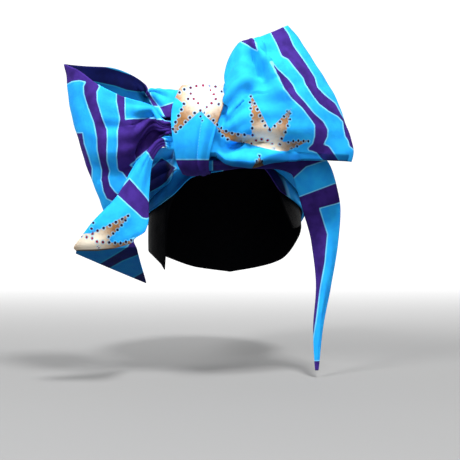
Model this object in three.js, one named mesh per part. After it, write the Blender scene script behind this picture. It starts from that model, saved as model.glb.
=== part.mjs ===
// A head wrap of printed cotton, tied on the front in a large bow with two free tails, over a satin lining band.
// Lengths are millimetres, +Z is up and the wearer looks along -Y. The origin is the middle of the head, level
// with the brow, where the head fills the wrap. "Left" and "right" are the viewer's, who faces the wearer.
import * as THREE from "three";

// Cloth and clearances
const cottonThickness = 1.8;
const satinThickness = 1.0;
const layerGap = 0.4;
const headLayerGap = 1.3;

// The head that the wrap is made for, measured to the inside of the satin
const headHalfWidth = 75;
const headHalfLength = 95;
const headRise = 120;
const headTaper = 190;
const headFullness = 2.6;

// How much wider the wrap stands at the left temple than at the right one
const leftBulge = 11;

// The knot: a wound ring of cloth round the necks of the loops, tails and side wraps
const knotCentreX = -26;
const knotStandOff = 26;
const knotCentreZ = 97;
const knotHalfWidth = 23;
const knotCavityHalfDepth = 21;
const knotCavityHalfHeight = 37.8;
const knotCavityRise = 4.8;
const knotThickness = 4.4;
const knotCrease = 1.3;

// The bow's loops: how far each reaches sideways from the knot, how tall and how deep its shape is
const leftLoopReach = 127.5;
const leftLoopHeight = 71;
const leftLoopDepth = 40;
const rightLoopReach = 141.5;
const rightLoopHeight = 101;
const rightLoopDepth = 40;
const neckPleat = 2.4;
const neckLead = 1.5;

// The tails: the left one is short and turned under at its end, the right one is long and pointed
const leftTailReach = 112;
const leftTailDrop = 136;
const leftTailDepth = 40;
const rightTailReach = 131.5;
const rightTailDrop = 222;
const rightTailDepth = 36;

// The folds that lie on the crown and on the side wraps
const crownFold = 4;
const crownFoldTurn = 21;
const crownFoldStart = 8;
const crownFoldFull = 28;
const sideFold = 3.4;
const napeLap = 16;

// How far apart the cross-sections of the bow and the side wraps lie
const bowGridStep = 13;
const leftTailGridStep = 12;

const crownClearance = satinThickness + headLayerGap + cottonThickness / 2;
const sideClearance = crownClearance + cottonThickness + headLayerGap;
const neckInset = layerGap + cottonThickness / 2;
const knotCentreY = -(headHalfLength + knotStandOff);

// Lower edges round the head. azimuth: degrees from the front, right positive. height: share of headRise.
const crownHem = [
  { azimuth: -180, height: -0.25 },
  { azimuth: -150, height: -0.15 },
  { azimuth: -120, height: 0.02 },
  { azimuth: -90, height: 0.17 },
  { azimuth: -62, height: 0.26 },
  { azimuth: -48, height: 0.35 },
  { azimuth: -31, height: 0.5 },
  { azimuth: -8, height: 0.54 },
  { azimuth: 12, height: 0.57 },
  { azimuth: 27, height: 0.58 },
  { azimuth: 42, height: 0.39 },
  { azimuth: 60, height: 0.31 },
  { azimuth: 90, height: 0.21 },
  { azimuth: 120, height: 0.04 },
  { azimuth: 150, height: -0.15 },
  { azimuth: 180, height: -0.25 },
];
const satinHem = [
  { azimuth: -180, height: -0.33 },
  { azimuth: -150, height: -0.28 },
  { azimuth: -120, height: -0.16 },
  { azimuth: -90, height: -0.09 },
  { azimuth: -70, height: -0.12 },
  { azimuth: -57, height: -0.2 },
  { azimuth: -53.5, height: -0.25 },
  { azimuth: -52, height: 0 },
  { azimuth: -50.5, height: 0.24 },
  { azimuth: -45, height: 0.4 },
  { azimuth: -31, height: 0.56 },
  { azimuth: 0, height: 0.6 },
  { azimuth: 27, height: 0.62 },
  { azimuth: 41, height: 0.42 },
  { azimuth: 47, height: 0.25 },
  { azimuth: 59, height: 0.1 },
  { azimuth: 78, height: 0.13 },
  { azimuth: 100, height: 0.02 },
  { azimuth: 130, height: -0.2 },
  { azimuth: 155, height: -0.28 },
  { azimuth: 180, height: -0.33 },
];
const satinTopShare = 0.68;

// Side wraps from the nape to where they leave the head. low and high: shares of headRise. stand: how many
// millimetres the upper edge stands off the crown.
const leftSideRows = [
  { azimuth: -180, low: -0.23, high: 0.36, stand: 0 },
  { azimuth: -158, low: -0.16, high: 0.38, stand: 0 },
  { azimuth: -145, low: -0.12, high: 0.4, stand: 0 },
  { azimuth: -120, low: 0.05, high: 0.52, stand: 1 },
  { azimuth: -90, low: 0.2, high: 0.68, stand: 6 },
  { azimuth: -68, low: 0.33, high: 0.78, stand: 8 },
  { azimuth: -50, low: 0.47, high: 0.78, stand: 4 },
];
const rightSideRows = [
  { azimuth: 180, low: -0.23, high: 0.36, stand: 0 },
  { azimuth: 158, low: -0.16, high: 0.38, stand: 0 },
  { azimuth: 145, low: -0.12, high: 0.4, stand: 0 },
  { azimuth: 120, low: 0.07, high: 0.51, stand: 0 },
  { azimuth: 90, low: 0.25, high: 0.62, stand: 0 },
  { azimuth: 66, low: 0.38, high: 0.71, stand: 0 },
  { azimuth: 46, low: 0.52, high: 0.77, stand: 0 },
  { azimuth: 30, low: 0.63, high: 0.79, stand: 0 },
];

// Cross-sections of the strips, from the knot outwards. Out, up and front are measured from the knot's centre,
// as shares of the piece's reach, height or drop, and depth. a is the top or outer edge, b the lower or inner one.
// swell is the bulge between the edges, a share of depth, towards facing: 0 the viewer, 90 outwards, 180 the back.
// rise, where a table has it, is how far the middle stands above the edges, a share of height or drop.
// corner, where a table has it, is how far the part near edge b stands out sideways, a share of the reach.
const leftLoopRows = [
  { aOut: 0.35, aUp: 0.34, aFront: 0.3, bOut: 0.32, bUp: -0.08, bFront: 0.1, swell: 0.16, facing: 0, rise: 0 },
  { aOut: 0.51, aUp: 0.43, aFront: 0.55, bOut: 0.43, bUp: -0.74, bFront: -0.1, swell: 0.3, facing: 10, rise: 0 },
  { aOut: 0.71, aUp: 0.59, aFront: 0.55, bOut: 0.58, bUp: -0.94, bFront: -0.15, swell: 0.34, facing: 20, rise: 0 },
  { aOut: 0.87, aUp: 0.81, aFront: 0.25, bOut: 0.69, bUp: -0.99, bFront: -0.3, swell: 0.3, facing: 45, rise: 0 },
  { aOut: 1, aUp: 0.94, aFront: -0.2, bOut: 0.73, bUp: -0.94, bFront: -0.5, swell: 0.12, facing: 90, rise: 0 },
  { aOut: 0.901, aUp: 0.954, aFront: -0.5, bOut: 0.68, bUp: -0.91, bFront: -0.75, swell: 0.2, facing: 150, rise: 0 },
  { aOut: 0.727, aUp: 0.963, aFront: -0.72, bOut: 0.61, bUp: -0.81, bFront: -0.9, swell: 0.28, facing: 175, rise: 0 },
  { aOut: 0.445, aUp: 0.755, aFront: -0.85, bOut: 0.4, bUp: -0.34, bFront: -0.85, swell: 0.16, facing: 180, rise: 0 },
  { aOut: 0.365, aUp: 0.42, aFront: -0.22, bOut: 0.38, bUp: -0.28, bFront: -0.72, swell: 0.08, facing: 180, rise: 0.5 },
];
const rightLoopRows = [
  { aOut: 0.155, aUp: 0.56, aFront: -0.05, bOut: 0.17, bUp: -0.27, bFront: 0.42, swell: 0.4, facing: 0, corner: 0 },
  { aOut: 0.258, aUp: 0.84, aFront: 0.1, bOut: 0.3, bUp: -0.29, bFront: 0.55, swell: 0.5, facing: 5, corner: 0 },
  { aOut: 0.335, aUp: 0.86, aFront: 0.17, bOut: 0.49, bUp: -0.25, bFront: 0.55, swell: 0.5, facing: 12, corner: 0 },
  { aOut: 0.447, aUp: 0.92, aFront: 0.1, bOut: 0.74, bUp: -0.24, bFront: 0.35, swell: 0.42, facing: 40, corner: 0.005 },
  { aOut: 0.56, aUp: 1.01, aFront: -0.2, bOut: 0.97, bUp: -0.24, bFront: -0.1, swell: 0.32, facing: 88, corner: 0.023 },
  { aOut: 0.52, aUp: 0.99, aFront: -0.55, bOut: 0.92, bUp: -0.12, bFront: -0.55, swell: 0.26, facing: 130, corner: 0.011 },
  { aOut: 0.4, aUp: 0.89, aFront: -0.75, bOut: 0.66, bUp: -0.04, bFront: -0.65, swell: 0.2, facing: 175, corner: 0 },
  { aOut: 0.26, aUp: 0.76, aFront: -0.82, bOut: 0.34, bUp: -0.02, bFront: -0.65, swell: 0.12, facing: 180, corner: 0 },
];
const leftTailRows = [
  { aOut: 0.32, aUp: -0.04, aFront: 0.63, bOut: 0.295, bUp: -0.09, bFront: 0.55, swell: 0.04, facing: 0 },
  { aOut: 0.426, aUp: -0.129, aFront: 0.7, bOut: 0.375, bUp: -0.176, bFront: 0.64, swell: 0.05, facing: 0 },
  { aOut: 0.527, aUp: -0.232, aFront: 0.75, bOut: 0.4, bUp: -0.284, bFront: 0.62, swell: 0.08, facing: 0 },
  { aOut: 0.645, aUp: -0.414, aFront: 0.8, bOut: 0.41, bUp: -0.445, bFront: 0.7, swell: 0.12, facing: 0 },
  { aOut: 0.846, aUp: -0.595, aFront: 0.85, bOut: 0.406, bUp: -0.568, bFront: 0.8, swell: 0.13, facing: 0 },
  { aOut: 0.928, aUp: -0.679, aFront: 0.8, bOut: 0.428, bUp: -0.646, bFront: 0.85, swell: 0.08, facing: 0 },
  { aOut: 0.997, aUp: -0.753, aFront: 0.72, bOut: 0.52, bUp: -0.71, bFront: 0.86, swell: 0.04, facing: 0 },
  { aOut: 0.99, aUp: -0.77, aFront: 0.55, bOut: 0.5, bUp: -0.77, bFront: 0.7, swell: 0, facing: 0 },
  { aOut: 1, aUp: -0.79, aFront: 0.45, bOut: 0.484, bUp: -1.01, bFront: -0.8, swell: 0.06, facing: 0 },
];
const rightTailRows = [
  { aOut: 0.42, aUp: -0.06, aFront: -0.44, bOut: 0.3, bUp: -0.13, bFront: -0.4, swell: 0.05, facing: 0 },
  { aOut: 0.7, aUp: -0.07, aFront: -0.5, bOut: 0.5, bUp: -0.13, bFront: -0.56, swell: 0.1, facing: 0 },
  { aOut: 0.88, aUp: -0.09, aFront: -0.6, bOut: 0.64, bUp: -0.15, bFront: -0.76, swell: 0.16, facing: 0 },
  { aOut: 0.97, aUp: -0.2, aFront: -0.85, bOut: 0.69, bUp: -0.22, bFront: -0.94, swell: 0.2, facing: 0 },
  { aOut: 1.0, aUp: -0.31, aFront: -0.92, bOut: 0.74, bUp: -0.32, bFront: -1.0, swell: 0.2, facing: 0 },
  { aOut: 0.985, aUp: -0.44, aFront: -0.95, bOut: 0.795, bUp: -0.44, bFront: -1.0, swell: 0.2, facing: 0 },
  { aOut: 0.93, aUp: -0.64, aFront: -0.97, bOut: 0.83, bUp: -0.64, bFront: -1.0, swell: 0.16, facing: 0 },
  { aOut: 0.87, aUp: -0.83, aFront: -0.97, bOut: 0.81, bUp: -0.83, bFront: -1.0, swell: 0.08, facing: 0 },
  { aOut: 0.845, aUp: -1.0, aFront: -1.0, bOut: 0.82, bUp: -1.0, bFront: -1.0, swell: 0, facing: 0 },
];

// The sector of the knot's cavity that each neck takes, in degrees: 0 faces the viewer, 90 is the top.
const neckSectors = {
  leftLoopFront: { from: 9, to: -9, pleats: 1 },
  leftLoopBack: { from: 14, to: 186, pleats: 3 },
  leftTail: { from: -13, to: -32, pleats: 1 },
  leftSide: { from: 200, to: 262, pleats: 2 },
  rightLoopFront: { from: 84, to: -44, pleats: 3 },
  rightLoopBack: { from: 97, to: 186, pleats: 2 },
  rightTail: { from: -54, to: -92, pleats: 1 },
  rightSide: { from: 200, to: 258, pleats: 2 },
};

// Creases laid on a strip, from one point to another of its length (along) and breadth (across, 0 at edge a).
// height is in millimetres, out of the cloth's outer side; spread is how wide the crease fades on its first side,
// and steep how wide it fades on the other.
const leftLoopCreases = [
  { along: 0.1, across: 0.42, toAlong: 0.34, toAcross: 0.66, height: -9, spread: 13, steep: 7 },
  { along: 0.34, across: 0.66, toAlong: 0.5, toAcross: 0.68, height: -4, spread: 10, steep: 6 },
  { along: 0.16, across: 0.16, toAlong: 0.36, toAcross: 0.1, height: 5, spread: 16, steep: 10 },
  { along: 0.14, across: 0.72, toAlong: 0.3, toAcross: 0.9, height: 4, spread: 10, steep: 10 },
  { along: 0.74, across: 0.1, toAlong: 0.84, toAcross: 0.4, height: 5, spread: 12, steep: 5 },
];
const rightLoopCreases = [
  { along: 0.08, across: 0.86, toAlong: 0.4, toAcross: 0.85, height: -8, spread: 9, steep: 5 },
  { along: 0.1, across: 0.94, toAlong: 0.38, toAcross: 0.93, height: 6, spread: 6, steep: 7 },
  { along: 0.29, across: 0.14, toAlong: 0.31, toAcross: 0.4, height: 8, spread: 7, steep: 24 },
  { along: 0.16, across: 0.36, toAlong: 0.28, toAcross: 0.26, height: 6, spread: 14, steep: 9 },
  { along: 0.2, across: 0.2, toAlong: 0.24, toAcross: 0.26, height: -7, spread: 15, steep: 13 },
  { along: 0.4, across: 0.3, toAlong: 0.44, toAcross: 0.72, height: 3, spread: 8, steep: 8 },
];

// The knot's outline round the ring. turn: degrees, 0 faces the viewer, 90 is the top. half: share of
// knotHalfWidth. shift: how far the middle lies to the right, in the same shares.
const knotRows = [
  { turn: -180, half: 0.8, shift: -0.1 },
  { turn: -120, half: 0.6, shift: -0.2 },
  { turn: -80, half: 0.54, shift: -0.22 },
  { turn: -45, half: 0.64, shift: -0.33 },
  { turn: 0, half: 0.87, shift: -0.26 },
  { turn: 30, half: 0.98, shift: -0.11 },
  { turn: 50, half: 0.93, shift: 0 },
  { turn: 85, half: 0.82, shift: 0.05 },
  { turn: 130, half: 0.85, shift: 0 },
  { turn: 180, half: 0.8, shift: -0.1 },
];

const radians = THREE.MathUtils.degToRad;
const ramp = THREE.MathUtils.smoothstep;
const mix = THREE.MathUtils.lerp;

/** A smooth function through (xs, ys) that never runs past its points. */
function curveThrough(xs, ys) {
  const last = xs.length - 1;
  const slopes = xs.slice(1).map((x, i) => (ys[i + 1] - ys[i]) / (x - xs[i]));
  const tangents = xs.map((_, i) => {
    if (i === 0 || i === last) return slopes[Math.min(i, last - 1)];
    const [before, after] = [slopes[i - 1], slopes[i]];
    return before * after > 0 ? (2 * before * after) / (before + after) : 0;
  });
  return (x) => {
    let i = 0;
    while (i < last - 1 && x > xs[i + 1]) i += 1;
    const span = xs[i + 1] - xs[i];
    const t = THREE.MathUtils.clamp((x - xs[i]) / span, 0, 1);
    const [t2, t3] = [t * t, t * t * t];
    return (
      (2 * t3 - 3 * t2 + 1) * ys[i] +
      (t3 - 2 * t2 + t) * span * tangents[i] +
      (3 * t2 - 2 * t3) * ys[i + 1] +
      (t3 - t2) * span * tangents[i + 1]
    );
  };
}

/** The smooth curve through one column of a table, against its key column. */
function columnCurve(rows, key, column) {
  return curveThrough(
    rows.map((row) => row[key]),
    rows.map((row) => row[column]),
  );
}

const knotHalfCurve = columnCurve(knotRows, "turn", "half");
const knotShiftCurve = columnCurve(knotRows, "turn", "shift");

/** A point on the layer that lies clearance outside the head, at an azimuth in degrees and a height. */
function headPoint(azimuth, height, clearance) {
  const rise = headRise + clearance;
  const share = height > 0 ? Math.min(height / rise, 1) ** headFullness : (height / headTaper) ** 2;
  const ring = Math.sqrt(1 - share);
  const around = THREE.MathUtils.euclideanModulo(azimuth + 180, 360) - 180;
  const bulge = leftBulge * ramp(-around, 35, 70) * ramp(180 + around, 16, 60);
  return new THREE.Vector3(
    (headHalfWidth + bulge + clearance) * ring * Math.sin(radians(azimuth)),
    -(headHalfLength + clearance) * ring * Math.cos(radians(azimuth)),
    height,
  );
}

/** A point on the wall of the knot's cavity, or inset from it, at a turn in degrees. */
function cavityPoint(x, turn, inset) {
  return new THREE.Vector3(
    x,
    knotCentreY - (knotCavityHalfDepth - inset) * Math.cos(radians(turn)),
    knotCentreZ + knotCavityRise + (knotCavityHalfHeight - inset) * Math.sin(radians(turn)),
  );
}

/** How far the knot's edge lies from its middle on one side, at a turn in degrees. */
function knotEdge(turn, side) {
  const around = turn > 180 ? turn - 360 : turn;
  return (knotHalfCurve(around) + side * knotShiftCurve(around)) * knotHalfWidth;
}

/** Sections of a neck that lies against the cavity wall: near the knot's middle, at its edge and just outside. */
function neckSections(sector, side, columns) {
  const section = (edgeShare, past) =>
    Array.from({ length: columns + 1 }, (_, j) => {
      const across = j / columns;
      const turn = mix(sector.from, sector.to, across);
      const pleat = neckPleat * (0.5 - 0.5 * Math.cos(2 * Math.PI * sector.pleats * across));
      const out = mix(layerGap, knotEdge(turn, side) + past, edgeShare);
      return cavityPoint(knotCentreX + side * out, turn, neckInset + pleat);
    });
  return [section(0, 0), section(1, neckLead), section(1, neckLead * 3)];
}

/** A section of a strip from its table row. */
function rowSection(row, piece, columns) {
  const edge = (out, up, front) =>
    new THREE.Vector3(
      knotCentreX + piece.side * out * piece.reach,
      knotCentreY - front * piece.depth,
      knotCentreZ + up * piece.height,
    );
  const a = edge(row.aOut, row.aUp, row.aFront);
  const b = edge(row.bOut, row.bUp, row.bFront);
  const facing = new THREE.Vector3(
    piece.side * Math.sin(radians(row.facing)),
    -Math.cos(radians(row.facing)),
    0,
  );
  return Array.from({ length: columns + 1 }, (_, j) => {
    const across = j / columns;
    const swell = row.swell * piece.depth * Math.sin(Math.PI * across);
    const point = a.clone().lerp(b, across).addScaledVector(facing, swell);
    point.z += (row.rise ?? 0) * piece.height * Math.sin(Math.PI * across);
    point.x += (row.corner ?? 0) * piece.side * piece.reach * Math.sin(Math.PI * across ** 6);
    return point;
  });
}

/** Rows of points through a list of sections, about one every step millimetres. */
function loft(sections, step) {
  const columns = sections[0].length;
  const places = [0];
  sections.slice(1).forEach((section, k) => {
    const gaps = section.map((point, j) => point.distanceTo(sections[k][j]));
    places.push(places[k] + gaps.reduce((sum, gap) => sum + gap, 0) / columns);
  });
  const stations = [];
  places.slice(1).forEach((place, k) => {
    const spans = Math.max(1, Math.round((place - places[k]) / step));
    for (let i = 0; i < spans; i += 1) stations.push(mix(places[k], place, i / spans));
  });
  stations.push(places[places.length - 1]);
  const curves = sections[0].map((_, j) =>
    ["x", "y", "z"].map((axis) =>
      curveThrough(
        places,
        sections.map((section) => section[j][axis]),
      ),
    ),
  );
  return stations.map((at) => curves.map((axes) => new THREE.Vector3(...axes.map((axis) => axis(at)))));
}

/** Unit normals of a grid of points: the way along the strip crossed with the way across it. */
function gridNormals(grid, closed) {
  const rows = grid.length;
  const before = (i) => (closed ? (i + rows - 1) % rows : Math.max(i - 1, 0));
  const after = (i) => (closed ? (i + 1) % rows : Math.min(i + 1, rows - 1));
  return grid.map((line, i) =>
    line.map((_, j) => {
      const along = grid[after(i)][j].clone().sub(grid[before(i)][j]);
      const across = line[Math.min(j + 1, line.length - 1)].clone().sub(line[Math.max(j - 1, 0)]);
      return along.cross(across).normalize();
    }),
  );
}

/** Lays a table of creases on a strip's grid. outward is 1 where the grid's normals face out of the piece. */
function crease(grid, creases, outward) {
  const [rows, columns] = [grid.length - 1, grid[0].length - 1];
  const middle = Math.floor(columns / 2);
  const length = grid.slice(1).reduce((sum, line, i) => sum + line[middle].distanceTo(grid[i][middle]), 0);
  const breadths = grid.map((line) => line[0].distanceTo(line[columns]));
  const breadth = breadths.reduce((sum, value) => sum + value, 0) / breadths.length;
  const normals = gridNormals(grid, false);
  const flat = (along, across) => new THREE.Vector2(along * length, across * breadth);
  return grid.map((line, i) =>
    line.map((point, j) => {
      const here = flat(i / rows, j / columns);
      const height = creases.reduce((sum, row) => {
        const start = flat(row.along, row.across);
        const way = flat(row.toAlong, row.toAcross).sub(start);
        const reached = THREE.MathUtils.clamp(here.clone().sub(start).dot(way) / way.lengthSq(), 0, 1);
        const off = here.clone().sub(start.addScaledVector(way, reached));
        const width = way.cross(off) > 0 ? row.spread : row.steep;
        return sum + row.height * Math.exp(-off.lengthSq() / (width * width));
      }, 0);
      const clear = ramp(Math.min(i, rows - i) / rows, 0.06, 0.14);
      return point.clone().addScaledVector(normals[i][j], outward * clear * height);
    }),
  );
}

/** A closed shell between two grids of points. closed joins the last row to the first; capped fans the last
 * column to an apex on each grid. */
function shell(outer, inner, { closed = false, apexes = null } = {}) {
  const [rows, columns] = [outer.length, outer[0].length];
  const positions = [...outer.flat(), ...inner.flat(), ...(apexes ?? [])].flatMap((p) => [p.x, p.y, p.z]);
  const at = (layer, i, j) => layer * rows * columns + (i % rows) * columns + j;
  const faces = [];
  const quad = (a, b, c, d) => faces.push(a, b, c, a, c, d);
  const spans = closed ? rows : rows - 1;
  for (let i = 0; i < spans; i += 1) {
    for (let j = 0; j < columns - 1; j += 1) {
      quad(at(0, i, j), at(0, i + 1, j), at(0, i + 1, j + 1), at(0, i, j + 1));
      quad(at(1, i, j), at(1, i, j + 1), at(1, i + 1, j + 1), at(1, i + 1, j));
    }
    quad(at(0, i, 0), at(1, i, 0), at(1, i + 1, 0), at(0, i + 1, 0));
    const end = columns - 1;
    if (apexes) {
      const [top, under] = [2 * rows * columns, 2 * rows * columns + 1];
      faces.push(at(0, i, end), at(0, i + 1, end), top, at(1, i + 1, end), at(1, i, end), under);
    } else {
      quad(at(0, i, end), at(0, i + 1, end), at(1, i + 1, end), at(1, i, end));
    }
  }
  if (!closed) {
    for (let j = 0; j < columns - 1; j += 1) {
      quad(at(0, 0, j), at(0, 0, j + 1), at(1, 0, j + 1), at(1, 0, j));
      const far = rows - 1;
      quad(at(0, far, j), at(1, far, j), at(1, far, j + 1), at(0, far, j + 1));
    }
  }
  const geometry = new THREE.BufferGeometry();
  geometry.setAttribute("position", new THREE.Float32BufferAttribute(positions, 3));
  geometry.setIndex(faces);
  geometry.computeVertexNormals();
  return geometry;
}

/** A closed wall of even thickness about a grid of points. */
function wall(grid, thickness, options = {}) {
  const normals = gridNormals(grid, options.closed);
  const layer = (offset) =>
    grid.map((line, i) => line.map((p, j) => p.clone().addScaledVector(normals[i][j], offset)));
  return shell(layer(thickness / 2), layer(-thickness / 2), options);
}

/** The wall of a loop of the bow: out from the knot in front, round its outer fold and back behind. */
function loopWall(piece, rows, front, back, creases) {
  const columns = 12;
  const sections = [
    ...neckSections(front, piece.side, columns),
    ...rows.map((row) => rowSection(row, piece, columns)),
    ...neckSections(back, piece.side, columns).reverse(),
  ];
  const grid = crease(loft(sections, bowGridStep), creases, -piece.side);
  return wall(grid, cottonThickness);
}

/** The wall of a tail that hangs from the knot. */
function tailWall(piece, rows, sector, columns, step) {
  const sections = [
    ...neckSections(sector, piece.side, columns),
    ...rows.map((row) => rowSection(row, piece, columns)),
  ];
  return wall(loft(sections, step), cottonThickness);
}

/** The wall of a side wrap: over the nape, round one side of the head and into the knot. */
function sideWall(rows, side, sector, napeLift) {
  const [columns, folds, step] = [9, 3, 9];
  const ordered = [...rows].sort((a, b) => a.azimuth - b.azimuth);
  const low = columnCurve(ordered, "azimuth", "low");
  const high = columnCurve(ordered, "azimuth", "high");
  const stand = columnCurve(ordered, "azimuth", "stand");
  const section = (turned) =>
    Array.from({ length: columns + 1 }, (_, j) => {
      const across = j / columns;
      const azimuth = Math.min(turned, 180);
      const swell = sideFold * Math.abs(Math.sin(Math.PI * folds * across)) * Math.sin(Math.PI * across);
      const folded = swell * ramp(180 - azimuth, 22, 50);
      const lift = napeLift * (1 - ramp(180 - azimuth, napeLap + 6, napeLap + 30));
      const height = mix(high(side * azimuth), low(side * azimuth), across) * headRise;
      const loose = stand(side * azimuth) * Math.cos((Math.PI / 2) * across);
      return headPoint(side * turned, height, sideClearance + lift + folded + loose);
    });
  const last = Math.min(...rows.map((row) => Math.abs(row.azimuth)));
  const sections = [];
  for (let turned = 180 + napeLap; turned > last + step / 2; turned -= step) sections.push(section(turned));
  sections.push(section(last), ...neckSections(sector, side, columns).reverse());
  return wall(loft(sections, bowGridStep), cottonThickness);
}

/** The crown: a dome over the head with folds that fan back from the knot above the side wraps. */
function crownWall() {
  const [around, upwards] = [60, 10];
  const hem = columnCurve(crownHem, "azimuth", "height");
  const leftTop = columnCurve(leftSideRows, "azimuth", "high");
  const rightTop = columnCurve([...rightSideRows].reverse(), "azimuth", "high");
  const layer = (clearance) =>
    Array.from({ length: around }, (_, i) => {
      const azimuth = mix(-180, 180, i / around);
      const low = Math.asin(hem(azimuth));
      const wrapTop = (azimuth < 0 ? leftTop(azimuth) : rightTop(azimuth)) * headRise;
      return Array.from({ length: upwards + 1 }, (_, j) => {
        const height = Math.sin(mix(low, Math.PI / 2, j / (upwards + 1))) * (headRise + clearance);
        const base = headPoint(azimuth, height, clearance);
        const fan = Math.atan2(base.x - knotCentreX, base.y + headHalfLength);
        const fold = 0.5 + 0.5 * Math.cos((fan * 360) / crownFoldTurn);
        const clear = ramp(height, wrapTop + crownFoldStart, wrapTop + crownFoldFull);
        return headPoint(azimuth, height, clearance).addScaledVector(
          base.clone().normalize(),
          crownFold * fold * clear,
        );
      });
    });
  const apex = (clearance) => new THREE.Vector3(0, 0, headRise + clearance + crownFold / 2);
  const [out, into] = [crownClearance + cottonThickness / 2, crownClearance - cottonThickness / 2];
  return shell(layer(out), layer(into), { closed: true, apexes: [apex(out), apex(into)] });
}

/** The satin band that lines the wrap and shows below it at the temples. */
function satinWall() {
  const [around, upwards] = [84, 2];
  const hem = columnCurve(satinHem, "azimuth", "height");
  const layer = (clearance) =>
    Array.from({ length: around }, (_, i) => {
      const azimuth = mix(-180, 180, i / around);
      return Array.from({ length: upwards + 1 }, (_, j) =>
        headPoint(azimuth, mix(hem(azimuth), satinTopShare, j / upwards) * headRise, clearance),
      );
    });
  return shell(layer(satinThickness), layer(0), { closed: true });
}

/** The knot: a ring round the necks, wide at the top and drawn in below, creased along its length. */
function knotWall() {
  const [around, across] = [34, 8];
  const layer = (outside) =>
    Array.from({ length: around }, (_, i) => {
      const turn = mix(-180, 180, i / around);
      const halfWidth = knotHalfCurve(turn) * knotHalfWidth;
      return Array.from({ length: across + 1 }, (_, j) => {
        const share = mix(-1, 1, j / across);
        const x = knotCentreX + knotShiftCurve(turn) * knotHalfWidth + share * halfWidth;
        const creased = knotCrease * Math.cos(Math.PI * 3 * share) * Math.cos(radians(turn) / 2);
        const swell = knotThickness * (1 - 0.35 * share * share) + creased * (1 - share * share);
        return cavityPoint(x, turn, outside ? -swell : 0);
      });
    });
  const [outer, inner] = [layer(true), layer(false)];
  return shell(
    outer.map((line) => [...line].reverse()),
    inner.map((line) => [...line].reverse()),
    { closed: true },
  );
}

const leftLoop = { side: -1, reach: leftLoopReach, height: leftLoopHeight, depth: leftLoopDepth };
const rightLoop = { side: 1, reach: rightLoopReach, height: rightLoopHeight, depth: rightLoopDepth };
const leftTail = { side: -1, reach: leftTailReach, height: leftTailDrop, depth: leftTailDepth };
const rightTail = { side: 1, reach: rightTailReach, height: rightTailDrop, depth: rightTailDepth };
const sideLift = cottonThickness + headLayerGap;

const printedCotton = new THREE.MeshStandardMaterial({ color: 0x2fb4e6, roughness: 0.85, metalness: 0 });
const knotCotton = new THREE.MeshStandardMaterial({ color: 0x86cfe4, roughness: 0.85, metalness: 0 });
const blackSatin = new THREE.MeshStandardMaterial({ color: 0x0a0b12, roughness: 0.35, metalness: 0 });

const pieces = [
  ["satin_band", satinWall(), blackSatin],
  ["crown", crownWall(), printedCotton],
  ["side_wrap_left", sideWall(leftSideRows, -1, neckSectors.leftSide, sideLift), printedCotton],
  ["side_wrap_right", sideWall(rightSideRows, 1, neckSectors.rightSide, 0), printedCotton],
  ["knot", knotWall(), knotCotton],
  [
    "bow_loop_left",
    loopWall(leftLoop, leftLoopRows, neckSectors.leftLoopFront, neckSectors.leftLoopBack, leftLoopCreases),
    printedCotton,
  ],
  [
    "bow_loop_right",
    loopWall(rightLoop, rightLoopRows, neckSectors.rightLoopFront, neckSectors.rightLoopBack, rightLoopCreases),
    printedCotton,
  ],
  ["tail_left", tailWall(leftTail, leftTailRows, neckSectors.leftTail, 6, leftTailGridStep), printedCotton],
  ["tail_right", tailWall(rightTail, rightTailRows, neckSectors.rightTail, 5, bowGridStep), printedCotton],
];

const headWrap = new THREE.Group();
for (const [name, geometry, material] of pieces) {
  const mesh = new THREE.Mesh(geometry, material);
  mesh.name = name;
  headWrap.add(mesh);
}

export default headWrap;
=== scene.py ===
"""A head wrap of wax-printed cotton over a satin band, tied in front in a large bow with two tails.

Left and right are the viewer's. Lengths are millimetres until a mesh is made, which is in metres, in the
frame of the CAD model: +Z up, the wearer looks along -Y, origin in the middle of the head at the brow.
"""

import logging
import math
from dataclasses import dataclass, field
from enum import Enum

import bpy
import numpy as np
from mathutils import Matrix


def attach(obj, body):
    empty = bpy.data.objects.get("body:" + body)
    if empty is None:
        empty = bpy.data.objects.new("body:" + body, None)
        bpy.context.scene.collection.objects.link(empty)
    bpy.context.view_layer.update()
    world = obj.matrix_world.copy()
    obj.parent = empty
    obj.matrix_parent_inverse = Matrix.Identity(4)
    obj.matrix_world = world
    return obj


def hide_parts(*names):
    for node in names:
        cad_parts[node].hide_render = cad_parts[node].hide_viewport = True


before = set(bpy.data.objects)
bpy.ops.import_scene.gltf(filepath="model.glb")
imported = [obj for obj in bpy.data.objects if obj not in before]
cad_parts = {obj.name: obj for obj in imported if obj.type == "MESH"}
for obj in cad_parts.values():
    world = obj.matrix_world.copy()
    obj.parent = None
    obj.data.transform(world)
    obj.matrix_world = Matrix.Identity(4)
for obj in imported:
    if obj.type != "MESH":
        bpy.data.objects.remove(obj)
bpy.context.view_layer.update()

LOG = logging.getLogger("head_wrap")
MM = 0.001
ROOT = "root"

# The photograph's view: a square frame of 460 pixels seen from the front, level with the brow
PHOTO_PIXELS = 460
PHOTO_CENTRE = PHOTO_PIXELS / 2
FOCAL_PIXELS = 800.0
CAMERA_BACK = 855.0
CAMERA_HEIGHT = 10.0
SENSOR_MM = 36.0

# Cloth and head, as in the CAD model
COTTON = 1.6
SATIN = 1.0
HEAD_LAYER_GAP = 1.3
LAYER_GAP = 0.4
CAD_COTTON = 1.8
HEAD_HALF_WIDTH = 75.0
HEAD_HALF_LENGTH = 95.0
HEAD_RISE = 120.0
HEAD_TAPER = 190.0
HEAD_FULLNESS = 2.6
LEFT_BULGE = 11.0

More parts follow.
